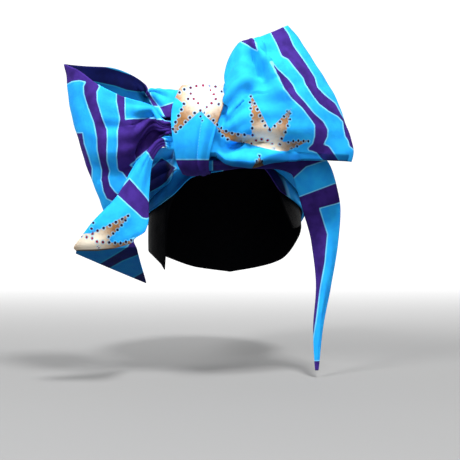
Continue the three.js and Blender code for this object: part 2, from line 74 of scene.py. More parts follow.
# The knot and the necks that pass through it
KNOT_X = -26.0
KNOT_Z = 97.0
KNOT_STAND_OFF = 26.0
KNOT_Y = -(HEAD_HALF_LENGTH + KNOT_STAND_OFF)
KNOT_HALF_WIDTH = 23.0
CAVITY_HALF_DEPTH = 21.0
CAVITY_HALF_HEIGHT = 37.8
CAVITY_RISE = 4.8
KNOT_THICKNESS = 4.4
NECK_PLEAT = 2.4
NECK_LEAD = 1.5
NECK_INSET = LAYER_GAP + CAD_COTTON / 2

CROWN_CLEARANCE = SATIN + HEAD_LAYER_GAP + CAD_COTTON / 2
SIDE_CLEARANCE = CROWN_CLEARANCE + CAD_COTTON + HEAD_LAYER_GAP
SIDE_FOLD = 3.4
CROWN_FOLD = 4.0
CROWN_FOLD_TURN = 21.0
NAPE_LAP = 16.0


class Layer(Enum):
    """Which face of a doubled strip a printed patch lies on."""

    FRONT = 0
    BACK = 1


class Side(Enum):
    """The side of the knot that a strip leaves from."""

    LEFT = -1
    RIGHT = 1


def smooth_step(value: np.ndarray | float, low: float, high: float) -> np.ndarray | float:
    """Rises smoothly from 0 at low to 1 at high.

    Args:
        value: where to read the rise.
        low: where it starts.
        high: where it ends.

    Returns:
        The rise, 0 to 1, in the shape of value.
    """
    share = np.clip((value - low) / (high - low), 0.0, 1.0)
    return share * share * (3 - 2 * share)


def curve_through(keys: np.ndarray, values: np.ndarray, at: np.ndarray) -> np.ndarray:
    """A smooth curve through points that never runs past them.

    Args:
        keys: rising keys, one for each point.
        values: the points, one row for each key.
        at: keys at which the curve is wanted.

    Returns:
        One row of values for each wanted key.
    """
    keys = np.asarray(keys, float)
    values = np.asarray(values, float)
    flat = values.reshape(len(keys), -1)
    spans = np.diff(keys)[:, None]
    slopes = np.diff(flat, axis=0) / spans
    tangents = np.empty_like(flat)
    tangents[0], tangents[-1] = slopes[0], slopes[-1]
    before, after = slopes[:-1], slopes[1:]
    together = before * after > 0
    total = np.where(together, before + after, 1.0)
    tangents[1:-1] = np.where(together, 2 * before * after / total, 0.0)
    at = np.clip(np.asarray(at, float), keys[0], keys[-1])
    i = np.clip(np.searchsorted(keys, at, side="right") - 1, 0, len(keys) - 2)
    t = ((at - keys[i]) / np.diff(keys)[i])[:, None]
    span = spans[i]
    result = (
        (2 * t**3 - 3 * t**2 + 1) * flat[i]
        + (t**3 - 2 * t**2 + t) * span * tangents[i]
        + (3 * t**2 - 2 * t**3) * flat[i + 1]
        + (t**3 - t**2) * span * tangents[i + 1]
    )
    return result.reshape((len(at),) + values.shape[1:])


def head_point(azimuth: np.ndarray, height: np.ndarray, clearance: np.ndarray | float) -> np.ndarray:
    """Points on the layer that lies outside the head.

    Args:
        azimuth: degrees from the front, right positive.
        height: millimetres above the brow.
        clearance: distance outside the head.

    Returns:
        Points, in a last axis of three.
    """
    rise = HEAD_RISE + clearance
    above = np.minimum(np.maximum(height, 0) / rise, 1.0) ** HEAD_FULLNESS
    below = (np.minimum(height, 0) / HEAD_TAPER) ** 2
    ring = np.sqrt(1 - np.where(height > 0, above, below))
    turn = np.radians(azimuth)
    around = (azimuth + 180) % 360 - 180
    bulge = LEFT_BULGE * smooth_step(-around, 35, 70) * smooth_step(180 + around, 16, 60)
    x = (HEAD_HALF_WIDTH + bulge + clearance) * ring * np.sin(turn)
    y = -(HEAD_HALF_LENGTH + clearance) * ring * np.cos(turn)
    return np.stack(np.broadcast_arrays(x, y, height), axis=-1)


def cavity_point(x: np.ndarray, turn: np.ndarray, inset: np.ndarray | float) -> np.ndarray:
    """Points on the wall of the knot's cavity, or inset from it, at a turn in degrees.

    Args:
        x: places across the knot, in millimetres.
        turn: turns round the cavity, in degrees.
        inset: how far inside the wall; a negative value lies outside it.

    Returns:
        The points, in millimetres.
    """
    angle = np.radians(turn)
    y = KNOT_Y - (CAVITY_HALF_DEPTH - inset) * np.cos(angle)
    z = KNOT_Z + CAVITY_RISE + (CAVITY_HALF_HEIGHT - inset) * np.sin(angle)
    return np.stack(np.broadcast_arrays(x, y, z), axis=-1)


def grid_normals(grid: np.ndarray, closed: bool = False) -> np.ndarray:
    """Unit normals of a grid of points: the way along it crossed with the way across it.

    Args:
        grid: the points.
        closed: whether the way along it is a ring.

    Returns:
        A unit vector for each point.
    """
    if closed:
        along = np.roll(grid, -1, axis=0) - np.roll(grid, 1, axis=0)
    else:
        along = np.gradient(grid, axis=0)
    across = np.gradient(grid, axis=1)
    normal = np.cross(along, across)
    return normal / (np.linalg.norm(normal, axis=-1, keepdims=True) + 1e-12)


def photo_place(points: np.ndarray) -> np.ndarray:
    """Where points appear in the photograph's view, in its pixels.

    Args:
        points: points in millimetres.

    Returns:
        A place in pixels for each point.
    """
    depth = points[..., 1] + CAMERA_BACK
    across = PHOTO_CENTRE + points[..., 0] * FOCAL_PIXELS / depth
    down = PHOTO_CENTRE - (points[..., 2] - CAMERA_HEIGHT) * FOCAL_PIXELS / depth
    return np.stack([across, down], axis=-1)


def segment_distance(places: np.ndarray, start: np.ndarray, end: np.ndarray) -> tuple[np.ndarray, np.ndarray]:
    """Distance of places from a segment, and how far along it they lie, from 0 to 1.

    Args:
        places: the places, in pixels.
        start: the segment's first end.
        end: its other end.

    Returns:
        The distances and the shares along the segment.
    """
    way = end - start
    share = np.clip(((places - start) @ way) / max(float(way @ way), 1e-9), 0, 1)
    return np.linalg.norm(places - start - share[..., None] * way, axis=-1), share


@dataclass(frozen=True)
class Patch:
    """A purple patch of the print. Its outline is in pixels of the photograph's view."""

    outline: tuple[tuple[float, float], ...]
    layer: Layer = Layer.FRONT

    def inside(self, places: np.ndarray) -> np.ndarray:
        """Signed distance into the patch, in pixels.

        Args:
            places: points in pixels.

        Returns:
            A positive distance inside the outline and a negative one outside it.
        """
        corners = np.array(self.outline, float)
        nearest = np.full(places.shape[:-1], 1e9)
        within = np.zeros(places.shape[:-1], bool)
        for start, end in zip(corners, np.roll(corners, -1, axis=0)):
            nearest = np.minimum(nearest, segment_distance(places, start, end)[0])
            crosses = (start[1] > places[..., 1]) != (end[1] > places[..., 1])
            rise = end[1] - start[1]
            reach = start[0] + (places[..., 1] - start[1]) * (end[0] - start[0]) / (rise if rise else 1e-9)
            within ^= crosses & (places[..., 0] < reach)
        return np.where(within, nearest, -nearest)


@dataclass(frozen=True)
class Starfish:
    """A starfish of the print: its outline, its heart and the trails of dots, in photograph pixels."""

    outline: tuple[tuple[float, float], ...]
    heart: tuple[float, float]
    reach: float
    trails: tuple[tuple[tuple[float, float], ...], ...]
    layer: Layer = Layer.FRONT


@dataclass
class Print:
    """The print on one piece."""

    patches: tuple[Patch, ...] = ()
    starfish: tuple[Starfish, ...] = ()

    FAR = 60.0

    def attributes(self, points: np.ndarray, layers: np.ndarray) -> dict[str, np.ndarray]:
        """Works out the print's fields at the points of a grid.

        Args:
            points: the grid's points, in millimetres.
            layers: the Layer value of each row of the grid.

        Returns:
            Named fields, each with one number for each point.
        """
        places = photo_place(points)
        scale = (points[..., 1] + CAMERA_BACK) / FOCAL_PIXELS
        purple = np.full(places.shape[:-1], -self.FAR)
        star = np.full(places.shape[:-1], -self.FAR)
        heart = np.ones(places.shape[:-1])
        trail = np.full(places.shape[:-1], self.FAR)
        count = np.zeros(places.shape[:-1])
        for patch in self.patches:
            on = layers == patch.layer.value
            purple = np.where(on, np.maximum(purple, patch.inside(places) * scale), purple)
        for fish in self.starfish:
            on = layers == fish.layer.value
            inside = Patch(fish.outline).inside(places) * scale
            away = np.linalg.norm(places - np.array(fish.heart), axis=-1) / fish.reach
            closer = on & (inside > star)
            star = np.where(closer, inside, star)
            heart = np.where(closer, away, heart)
            for line in fish.trails:
                corners = np.array(line, float)
                for passed, (start, end) in enumerate(zip(corners[:-1], corners[1:])):
                    off, share = segment_distance(places, start, end)
                    nearer = on & (off * scale < trail)
                    trail = np.where(nearer, off * scale, trail)
                    count = np.where(nearer, passed + share, count)
        return {
            "purple_edge": purple,
            "star_edge": star,
            "star_heart": heart,
            "trail_edge": trail,
            "trail_count": count,
        }


@dataclass(frozen=True)
class Crease:
    """A ridge or valley from one point of a strip to another, as shares of its length and breadth."""

    along: float
    across: float
    to_along: float
    to_across: float
    height: float
    spread: float
    steep: float


@dataclass(frozen=True)
class Row:
    """A cross-section of a strip, as shares of its reach, height and depth from the knot's centre."""

    a_out: float
    a_up: float
    a_front: float
    b_out: float
    b_up: float
    b_front: float
    swell: float
    facing: float
    rise: float = 0.0
    corner: float = 0.0


@dataclass(frozen=True)
class Sector:
    """The part of the knot's cavity that a neck takes, in degrees: 0 faces the viewer, 90 is the top."""

    start: float
    end: float
    pleats: int


@dataclass
class Sheet:
    """A sheet of cloth: a grid of points with a wall of even thickness about it."""

    name: str
    grid: np.ndarray
    thickness: float
    closed: bool = False
    apex: np.ndarray | None = None
    flip: bool = False
    # Whether the grid's outer wall is the cloth's inside; it swaps the painted shade between the walls.
    mirrored: bool = False
    fields: dict[str, np.ndarray] = field(default_factory=dict)
    # Share of painted shade on the cloth's outside; the inside gets one less this share.
    turned: np.ndarray | None = None
    seam: np.ndarray | None = None

    def cut(self) -> tuple[float, float]:
        """The width and length in metres of the flat cloth, from the grid's mean spans.

        Returns:
            The width and the length.
        """
        width = np.linalg.norm(np.diff(self.grid, axis=1), axis=-1).sum(axis=1).mean()
        ring = np.concatenate([self.grid, self.grid[:1]]) if self.closed else self.grid
        length = np.linalg.norm(np.diff(ring, axis=0), axis=-1).sum(axis=0).mean()
        return float(width) * MM, float(length) * MM

    def faces(self) -> list[tuple[int, ...]]:
        """Faces of the closed wall, outwards, over the outer grid's points and then the inner grid's.

        Returns:
            The corners of each face.
        """
        rows, columns = self.grid.shape[:2]
        half = rows * columns

        def at(layer: int, i: int, j: int) -> int:
            """The number of a point of the wall."""
            return layer * half + (i % rows) * columns + j

        spans = rows if self.closed else rows - 1
        faces: list[tuple[int, ...]] = []
        end = columns - 1
        for i in range(spans):
            for j in range(end):
                faces.append((at(0, i, j), at(0, i + 1, j), at(0, i + 1, j + 1), at(0, i, j + 1)))
                faces.append((at(1, i, j), at(1, i, j + 1), at(1, i + 1, j + 1), at(1, i + 1, j)))
            faces.append((at(0, i, 0), at(1, i, 0), at(1, i + 1, 0), at(0, i + 1, 0)))
            if self.apex is None:
                faces.append((at(0, i, end), at(0, i + 1, end), at(1, i + 1, end), at(1, i, end)))
            else:
                faces.append((at(0, i, end), at(0, i + 1, end), 2 * half))
                faces.append((at(1, i + 1, end), at(1, i, end), 2 * half + 1))
        if not self.closed:
            far = rows - 1
            for j in range(end):
                faces.append((at(0, 0, j), at(0, 0, j + 1), at(1, 0, j + 1), at(1, 0, j)))
                faces.append((at(0, far, j), at(1, far, j), at(1, far, j + 1), at(0, far, j + 1)))
        return faces

    def build(self) -> bpy.types.Object:
        """Makes the Blender object, with a UV map along the cloth and the print's fields.

        Returns:
            The object, without a material.
        """
        normals = grid_normals(self.grid, self.closed) * (-1 if self.flip else 1)
        outer = self.grid + normals * self.thickness / 2
        inner = self.grid - normals * self.thickness / 2
        points = [outer.reshape(-1, 3), inner.reshape(-1, 3)]
        if self.apex is not None:
            lift = np.array([0, 0, self.thickness / 2])
            points.append(np.stack([self.apex + lift, self.apex - lift]))
        points = np.concatenate(points)
        faces = self.faces()
        if self.flip:
            faces = [tuple(reversed(face)) for face in faces]
        mesh = bpy.data.meshes.new(self.name)
        mesh.from_pydata((points * MM).tolist(), [], faces)
        mesh.update()
        self._add_fields(mesh, len(points))
        self._add_cloth_map(mesh)
        mesh.polygons.foreach_set("use_smooth", [True] * len(mesh.polygons))
        mesh.validate()
        thing = bpy.data.objects.new(self.name, mesh)
        bpy.context.scene.collection.objects.link(thing)
        return thing

    def _add_fields(self, mesh: bpy.types.Mesh, count: int) -> None:
        """Writes each field on both faces of the wall, and the painted shade: turned on the cloth's outside,
        one less turned on its inside.

        Args:
            mesh: the wall's mesh.
            count: how many points the grid has.
        """
        turned = np.zeros(self.grid.shape[:2]) if self.turned is None else self.turned
        turned = turned.ravel()
        pairs = {name: (values.ravel(), values.ravel()) for name, values in self.fields.items()}
        if self.seam is not None:
            marked = self.seam.ravel() * 1.0
            pairs["seam"] = (marked, marked * 0)
        # Painted shade: the cloth's inside is darkened except where turned is set, its outside only there.
        pairs["reverse"] = (1 - turned, turned) if self.mirrored else (turned, 1 - turned)
        for name, pair in pairs.items():
            both = np.concatenate(pair)
            both = np.concatenate([both, np.full(count - len(both), both[-1])])
            layer = mesh.attributes.new(name, "FLOAT", "POINT")
            layer.data.foreach_set("value", both.astype(np.float32))

    def _add_cloth_map(self, mesh: bpy.types.Mesh) -> None:
        """Lays a UV map in decimetres along and across the cloth.

        Args:
            mesh: the wall's mesh.
        """
        rows, columns = self.grid.shape[:2]
        width, length = self.cut()
        spans = rows if self.closed else rows - 1
        along = np.repeat(np.arange(rows) / spans, columns) * length * 10
        across = np.tile(np.arange(columns) / max(columns - 1, 1), rows) * width * 10
        flat = np.stack([along, across], axis=-1)
        flat = np.concatenate([flat, flat, flat[-1:], flat[-1:]])
        corner = np.empty(len(mesh.loops), np.int32)
        mesh.loops.foreach_get("vertex_index", corner)
        places = flat[corner]
        if self.closed:
            starts = np.empty(len(mesh.polygons), np.int32)
            mesh.polygons.foreach_get("loop_start", starts)
            highest = np.maximum.reduceat(places[:, 0], starts)
            sizes = np.diff(np.append(starts, len(corner)))
            far = np.repeat(highest, sizes) - places[:, 0] > length * 5
            places[far, 0] += length * 10
        layer = mesh.uv_layers.new(name="cloth")
        layer.data.foreach_set("uv", places.astype(np.float32).ravel())


@dataclass(frozen=True)
class KnotShape:
    """The knot's outline round its ring: at each turn, half its width and the shift of its middle."""

    turns: tuple[float, ...] = (-180, -120, -80, -45, 0, 30, 50, 85, 130, 180)
    halves: tuple[float, ...] = (0.8, 0.6, 0.54, 0.64, 0.87, 0.98, 0.93, 0.82, 0.85, 0.8)
    shifts: tuple[float, ...] = (-0.1, -0.2, -0.22, -0.33, -0.26, -0.11, 0, 0.05, 0, -0.1)

    def span(self, turn: np.ndarray) -> tuple[np.ndarray, np.ndarray]:
        """Half the knot's width and its middle's shift, in millimetres, at turns in degrees.

        Args:
            turn: the turns.

        Returns:
            The half widths and the shifts.
        """
        turn = np.where(np.asarray(turn) > 180, np.asarray(turn) - 360, turn)
        half = curve_through(self.turns, self.halves, turn.ravel()).reshape(turn.shape)
        shift = curve_through(self.turns, self.shifts, turn.ravel()).reshape(turn.shape)
        return half * KNOT_HALF_WIDTH, shift * KNOT_HALF_WIDTH


KNOT_SHAPE = KnotShape()


def neck_sections(sector: Sector, side: Side, across: np.ndarray) -> list[np.ndarray]:
    """Sections of a neck against the cavity's wall: near the knot's middle, at its edge and just outside.

    Args:
        sector: the part of the cavity that the neck fills.
        side: the side that it leaves by.
        across: shares across the cloth, 0 to 1.

    Returns:
        The three sections, from the inside out.
    """
    turn = sector.start + (sector.end - sector.start) * across
    half, shift = KNOT_SHAPE.span(turn)
    edge = half + side.value * shift
    pleat = NECK_PLEAT * (0.5 - 0.5 * np.cos(2 * math.pi * sector.pleats * across))
    outs = [np.full_like(edge, LAYER_GAP), edge + NECK_LEAD, edge + NECK_LEAD * 3]
    return [cavity_point(KNOT_X + side.value * out, turn, NECK_INSET + pleat) for out in outs]


def loft(sections: list[np.ndarray], step: float) -> np.ndarray:
    """A grid through sections.

    Args:
        sections: rows of points.
        step: the wanted distance between the grid's rows.

    Returns:
        The grid's points.
    """
    stack = np.array(sections)
    gaps = np.linalg.norm(np.diff(stack, axis=0), axis=-1).mean(axis=1)
    places = np.concatenate([[0], np.cumsum(gaps)])
    count = int(round(places[-1] / step)) + 1
    return curve_through(places, stack, np.linspace(0, places[-1], count))


def lay_creases(grid: np.ndarray, creases: tuple[Crease, ...], outward: float) -> np.ndarray:
    """Presses a strip's creases into its grid.

    Args:
        grid: the strip's points.
        creases: the ridges and valleys.
        outward: 1 where the grid's normals face out of the piece, otherwise -1.

    Returns:
        The creased grid.
    """
    rows, columns = grid.shape[0] - 1, grid.shape[1] - 1
    length = np.linalg.norm(np.diff(grid[:, columns // 2], axis=0), axis=-1).sum()
    breadth = np.linalg.norm(grid[:, 0] - grid[:, -1], axis=-1).mean()
    along, across = np.meshgrid(np.arange(rows + 1) / rows, np.arange(columns + 1) / columns, indexing="ij")
    here = np.stack([along * length, across * breadth], axis=-1)
    height = np.zeros(along.shape)
    for row in creases:
        start = np.array([row.along * length, row.across * breadth])
        way = np.array([row.to_along * length, row.to_across * breadth]) - start
        share = np.clip(((here - start) @ way) / (way @ way), 0, 1)
        off = here - start - share[..., None] * way
        turned = way[0] * off[..., 1] - way[1] * off[..., 0]
        width = np.where(turned > 0, row.spread, row.steep)
        height += row.height * np.exp(-(off**2).sum(axis=-1) / width**2)
    clear = smooth_step(np.minimum(along, 1 - along), 0.06, 0.14)
    return grid + grid_normals(grid) * (outward * clear * height)[..., None]


@dataclass(frozen=True)
class Gathers:
    """Fine folds that run out of a neck and fade, and the slack waves of the whole cloth."""

    count: float = 7.0
    height: float = 1.7
    reach: float = 42.0
    slack: float = 0.8
    both_ends: bool = True
    neck: float = 22.0
    start: float = 14.0
    settle: float = 40.0
    second_share: float = 0.57
    slack_pitch: float = 11.0
    long_slack_pitch: float = 17.0


def lay_gathers(grid: np.ndarray, gathers: Gathers) -> np.ndarray:
    """Adds the fine folds of the gathers and the cloth's slack to a grid.

    Args:
        grid: the points.
        gathers: the folds' sizes.

    Returns:
        The moved points.
    """
    rows, columns = grid.shape[0] - 1, grid.shape[1] - 1
    length = np.linalg.norm(np.diff(grid[:, columns // 2], axis=0), axis=-1).sum()
    along, across = np.meshgrid(np.arange(rows + 1) / rows, np.arange(columns + 1) / columns, indexing="ij")
    first = along * length - gathers.neck
    last = (1 - along) * length - gathers.neck
    near = smooth_step(first, 0, gathers.start) * np.exp(-np.maximum(first, 0) / gathers.reach)
    if gathers.both_ends:
        near = near + smooth_step(last, 0, gathers.start) * np.exp(-np.maximum(last, 0) / gathers.reach)
    bend = 0.9 * np.sin(2.1 * along * math.pi)
    folds = np.cos(2 * math.pi * gathers.count * across + bend)
    folds += 0.6 * np.cos(2 * math.pi * (gathers.count * gathers.second_share) * across + 1.7 + 2 * bend)
    slack = np.sin(along * length / gathers.slack_pitch + 5 * across) * np.sin(across * 9.5 - along * 4)
    slack = slack + 0.7 * np.sin(along * length / gathers.long_slack_pitch - 7 * across + 1.3)
    settled = smooth_step(first, 0, gathers.settle) * smooth_step(last, 0, gathers.settle)
    edge = smooth_step(np.minimum(across, 1 - across), -0.02, 0.1)
    height = (gathers.height * near * folds + gathers.slack * settled * slack) * edge
    return grid + grid_normals(grid) * height[..., None]


@dataclass(frozen=True)
class PaintedShade:
    """Where painted shade darkens a strip's outside, as shares along and across it."""

    along: float = 2.0
    across: float = 2.0
    until: float = 1.0
    before: float = 0.0
    hem_blend: float = 0.02
    neck_blend: float = 0.1
    neck_share: float = 0.75

    def shares(self, grid: np.ndarray) -> np.ndarray:
        """How much painted shade falls at each point of a grid, 0 to 1.

        Args:
            grid: the grid, of which only the counts are read.

        Returns:
            The share for each point.
        """
        rows, columns = grid.shape[:2]
        along = np.arange(rows)[:, None] / (rows - 1)
        across = np.arange(columns)[None, :] / (columns - 1)
        hem = smooth_step(across, self.across - self.hem_blend, self.across) * (along < self.until)
        neck = self.neck_share * (1 - smooth_step(along, self.before - self.neck_blend, self.before))
        neck = neck * (self.before > 0)
        return np.maximum(np.maximum(hem, (along >= self.along) * 1.0), neck)


@dataclass
class Strip:
    """A strip of the bow: a loop or a tail, lofted from the knot outwards."""

    name: str
    node: str
    slot: str
    side: Side
    reach: float
    height: float
    depth: float
    rows: tuple[Row, ...]
    front: Sector
    back: Sector | None = None
    creases: tuple[Crease, ...] = ()
    gathers: Gathers = Gathers()
    printed: Print = field(default_factory=Print)
    fold_row: int = 5
    columns: int = 60
    step: float = 1.6
    held: str = "gathered"
    # Painted shade on the strip's outside.
    turned: PaintedShade = PaintedShade()

    def row_section(self, row: Row, across: np.ndarray) -> np.ndarray:
        """The points of one cross-section.

        Args:
            row: the section's row.
            across: shares across the cloth, 0 to 1.

        Returns:
            The points, in millimetres.
        """
        side = self.side.value

        def edge(out: float, up: float, front: float) -> np.ndarray:
            """A point of the section's edge."""
            x = KNOT_X + side * out * self.reach
            return np.array([x, KNOT_Y - front * self.depth, KNOT_Z + up * self.height])

        a = edge(row.a_out, row.a_up, row.a_front)
        b = edge(row.b_out, row.b_up, row.b_front)
        facing = math.radians(row.facing)
        way = np.array([side * math.sin(facing), -math.cos(facing), 0])
        swell = row.swell * self.depth * np.sin(math.pi * across)
        points = a + (b - a) * across[:, None] + swell[:, None] * way
        points[:, 2] += row.rise * self.height * np.sin(math.pi * across)
        points[:, 0] += row.corner * side * self.reach * np.sin(math.pi * across**6)
        return points

    def grid(self) -> tuple[np.ndarray, np.ndarray]:
        """The strip's points, and the print layer of each.

        Returns:
            The points and the layers.
        """
        across = np.linspace(0, 1, self.columns + 1)
        sections = neck_sections(self.front, self.side, across)
        sections += [self.row_section(row, across) for row in self.rows]
        if self.back is not None:
            sections += neck_sections(self.back, self.side, across)[::-1]
        stack = np.array(sections)
        gaps = np.linalg.norm(np.diff(stack, axis=0), axis=-1).mean(axis=1)
        places = np.concatenate([[0], np.cumsum(gaps)])
        fold = places[2 + self.fold_row] / places[-1] if self.back is not None else 2.0
        grid = lay_creases(loft(sections, self.step), self.creases, -self.side.value)
        grid = lay_gathers(grid, self.gathers)
        shares = np.arange(len(grid)) / (len(grid) - 1)
        layers = np.where(shares <= fold, Layer.FRONT.value, Layer.BACK.value)
        return grid, np.repeat(layers[:, None], grid.shape[1], axis=1)

    def build(self, material: bpy.types.Material) -> bpy.types.Object:
        """Args:
            material: the printed cotton.

        Returns:
            The finished object.
        """
        grid, layers = self.grid()
        fields = self.printed.attributes(grid, layers)
        # Painted shade: the share on the cloth's outside, which is the inner wall on right-hand strips.
        mirrored = self.side is Side.RIGHT
        turned = self.turned.shares(grid)
        sheet = Sheet(self.name, grid, COTTON, mirrored=mirrored, fields=fields, turned=turned)
        return dress(sheet, material, self.node)


@dataclass(frozen=True)
class Seam:
    """A row of stitches along the vertices that the field seam marks; sizes in millimetres."""

    pitch: float = 2.6
    stitch_length: float = 1.9
    thread_radius: float = 0.32
    seed: int = 7
    stored: tuple[tuple[str, float], ...] = (
        ("purple_edge", -1.0), ("star_edge", -60.0), ("star_heart", 1.0), ("trail_edge", 60.0),
    )

    def tree(self) -> bpy.types.GeometryNodeTree:
        """Builds the tree that lays a stitch at each step of the marked path.

        Returns:
            The tree, with its sizes as named inputs.
        """
        tree = bpy.data.node_groups.new("seam_stitches", "GeometryNodeTree")
        tree.interface.new_socket("Geometry", in_out="INPUT", socket_type="NodeSocketGeometry")
        for name in ("Pitch", "Stitch Length", "Thread Radius"):
            tree.interface.new_socket(name, in_out="INPUT", socket_type="NodeSocketFloat")
        tree.interface.new_socket("Seed", in_out="INPUT", socket_type="NodeSocketInt")
        tree.interface.new_socket("Material", in_out="INPUT", socket_type="NodeSocketMaterial")
        tree.interface.new_socket("Geometry", in_out="OUTPUT", socket_type="NodeSocketGeometry")
        nodes = Nodes(tree)
        given = nodes.add("NodeGroupInput")
        marked = nodes.add("GeometryNodeInputNamedAttribute", data_type="FLOAT")
        marked.inputs["Name"].default_value = "seam"
        path = nodes.add("GeometryNodeMeshToCurve")
        nodes.link(given.outputs["Geometry"], path.inputs["Mesh"])
        nodes.link(nodes.math("GREATER_THAN", marked.outputs["Attribute"], 0.99), path.inputs["Selection"])
        steps = nodes.add("GeometryNodeResampleCurve", mode="LENGTH")
        nodes.link(path.outputs["Curve"], steps.inputs["Curve"])
        nodes.link(given.outputs["Pitch"], steps.inputs["Length"])
        ball = nodes.add("GeometryNodeMeshUVSphere")
        ball.inputs["Segments"].default_value = 8
        ball.inputs["Rings"].default_value = 6
        size = nodes.add("ShaderNodeCombineXYZ")
        for axis in ("X", "Y"):
            nodes.link(given.outputs["Thread Radius"], size.inputs[axis])
        nodes.link(nodes.math("MULTIPLY", given.outputs["Stitch Length"], 0.5), size.inputs["Z"])
        stitch = nodes.add("GeometryNodeTransform")
        nodes.link(ball.outputs["Mesh"], stitch.inputs["Geometry"])
        nodes.link(size.outputs["Vector"], stitch.inputs["Scale"])
        smooth = nodes.add("GeometryNodeSetShadeSmooth")
        nodes.link(stitch.outputs["Geometry"], smooth.inputs["Geometry"])
        turn = nodes.add("FunctionNodeAlignRotationToVector", axis="Z")
        nodes.link(nodes.add("GeometryNodeInputTangent").outputs["Tangent"], turn.inputs["Vector"])
        vary = nodes.add("FunctionNodeRandomValue", data_type="FLOAT")
        vary.inputs[2].default_value = 0.88
        vary.inputs[3].default_value = 1.08
        nodes.link(given.outputs["Seed"], vary.inputs["Seed"])
        row = nodes.add("GeometryNodeInstanceOnPoints")
        nodes.link(steps.outputs["Curve"], row.inputs["Points"])
        nodes.link(smooth.outputs["Geometry"], row.inputs["Instance"])
        nodes.link(turn.outputs["Rotation"], row.inputs["Rotation"])
        nodes.link(vary.outputs[1], row.inputs["Scale"])
        last = nodes.add("GeometryNodeRealizeInstances")
        nodes.link(row.outputs["Instances"], last.inputs["Geometry"])
        thread = last.outputs["Geometry"]
        for name, value in self.stored:
            store = nodes.add("GeometryNodeStoreNamedAttribute", data_type="FLOAT", domain="POINT")
            store.inputs["Name"].default_value = name
            store.inputs["Value"].default_value = value
            nodes.link(thread, store.inputs["Geometry"])
            thread = store.outputs["Geometry"]
        both = nodes.add("GeometryNodeJoinGeometry")
        nodes.link(thread, both.inputs["Geometry"])
        nodes.link(given.outputs["Geometry"], both.inputs["Geometry"])
        real = nodes.add("GeometryNodeRealizeInstances")
        nodes.link(both.outputs["Geometry"], real.inputs["Geometry"])
        finish = nodes.add("GeometryNodeSetMaterial")
        nodes.link(real.outputs["Geometry"], finish.inputs["Geometry"])
        nodes.link(given.outputs["Material"], finish.inputs["Material"])
        result = nodes.add("NodeGroupOutput")
        nodes.link(finish.outputs["Geometry"], result.inputs["Geometry"])
        return tree

    def sew(self, thing: bpy.types.Object, material: bpy.types.Material) -> None:
        """Adds the stitches to a sheet's mesh.

        Args:
            thing: the sheet's object, with the field seam.
            material: the cotton, which the thread shares.
        """
        tree = self.tree()
        modifier = thing.modifiers.new("seam", "NODES")
        modifier.node_group = tree
        values = {
            "Pitch": self.pitch * MM,
            "Stitch Length": self.stitch_length * MM,
            "Thread Radius": self.thread_radius * MM,
            "Seed": self.seed,
            "Material": material,
        }
        for socket in tree.interface.items_tree:
            if socket.in_out == "INPUT" and socket.name in values:
                modifier[socket.identifier] = values[socket.name]
        graph = bpy.context.evaluated_depsgraph_get()
        sewn = bpy.data.meshes.new_from_object(thing.evaluated_get(graph))
        thing.modifiers.remove(modifier)
        thing.data = sewn


def dress(
    sheet: Sheet,
    material: bpy.types.Material,
    node: str,
    seam: Seam | None = None,
) -> bpy.types.Object:
    """Builds a sheet, gives it its finish and ties it to the frame.

    Args:
        sheet: the cloth.
        material: its finish.
        node: the CAD node that it stands for.
        seam: the stitches along the sheet's marked vertices, if it has any.

    Returns:
        The finished object.
    """
    thing = sheet.build()
    thing.data.materials.append(material)
    if seam is not None:
        seam.sew(thing, material)
    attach(thing, ROOT)
    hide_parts(node)
    sheet.cut()
    LOG.info("%s: %d faces", sheet.name, len(thing.data.polygons))
    return thing


class Nodes:
    """A short way to add nodes and links to a tree."""

    def __init__(self, tree: bpy.types.NodeTree) -> None:
        """Keeps the tree."""
        self.tree = tree

    def add(self, kind: str, **settings: object) -> bpy.types.Node:
        """Adds a node and sets its properties.

        Args:
            kind: the node's type.
            settings: its properties by name.

        Returns:
            The node.
        """
        node = self.tree.nodes.new(kind)
        for name, value in settings.items():
            setattr(node, name, value)
        return node

    def link(self, source: bpy.types.NodeSocket, target: bpy.types.NodeSocket) -> None:
        """Links two sockets."""
        self.tree.links.new(source, target)

    def math(self, operation: str, first: object, second: object = None) -> bpy.types.NodeSocket:
        """Adds a math node on sockets or numbers and returns its output.

        Args:
            operation: the operation.
            first: a socket or a number.
            second: a second one, if the operation takes it.

        Returns:
            The node's output socket.
        """
        node = self.add("ShaderNodeMath", operation=operation)
        for socket, value in zip(node.inputs, (first, second)):
            if isinstance(value, bpy.types.NodeSocket):
                self.link(value, socket)
            elif value is not None:
                socket.default_value = value
        return node.outputs[0]

    def between(self, value: bpy.types.NodeSocket, low: float, high: float) -> bpy.types.NodeSocket:
        """Adds a smooth rise from 0 at low to 1 at high and returns its output.

        Args:
            value: what is read.
            low: where the rise starts.
            high: where it ends.

        Returns:
            The node's output socket.
        """
        node = self.add("ShaderNodeMapRange", interpolation_type="SMOOTHSTEP")
        self.link(value, node.inputs["Value"])
        node.inputs["From Min"].default_value = low
        node.inputs["From Max"].default_value = high
        return node.outputs["Result"]

    def blend(self, factor: object, first: object, second: object) -> bpy.types.NodeSocket:
        """Adds a colour mix on sockets or colours and returns its output.

        Args:
            factor: 0 for the first colour, 1 for the second.
            first: a socket or a colour.
            second: a socket or a colour.

        Returns:
            The node's output socket.
        """
        node = self.add("ShaderNodeMix", data_type="RGBA")
        for index, value in ((0, factor), (6, first), (7, second)):
            if isinstance(value, bpy.types.NodeSocket):
                self.link(value, node.inputs[index])
            else:
                node.inputs[index].default_value = value
        return node.outputs[2]

    def tint(self, colour: bpy.types.NodeSocket, tint: object) -> bpy.types.NodeSocket:
        """Adds a colour multiplied by a fixed tint and returns its output.

        Args:
            colour: the colour's socket.
            tint: the fixed colour.

        Returns:
            The node's output socket.
        """
        node = self.add("ShaderNodeMix", data_type="RGBA", blend_type="MULTIPLY")
        node.inputs[0].default_value = 1.0
        self.link(colour, node.inputs[6])
        node.inputs[7].default_value = tint
        return node.outputs[2]


Colour = tuple[float, float, float, float]


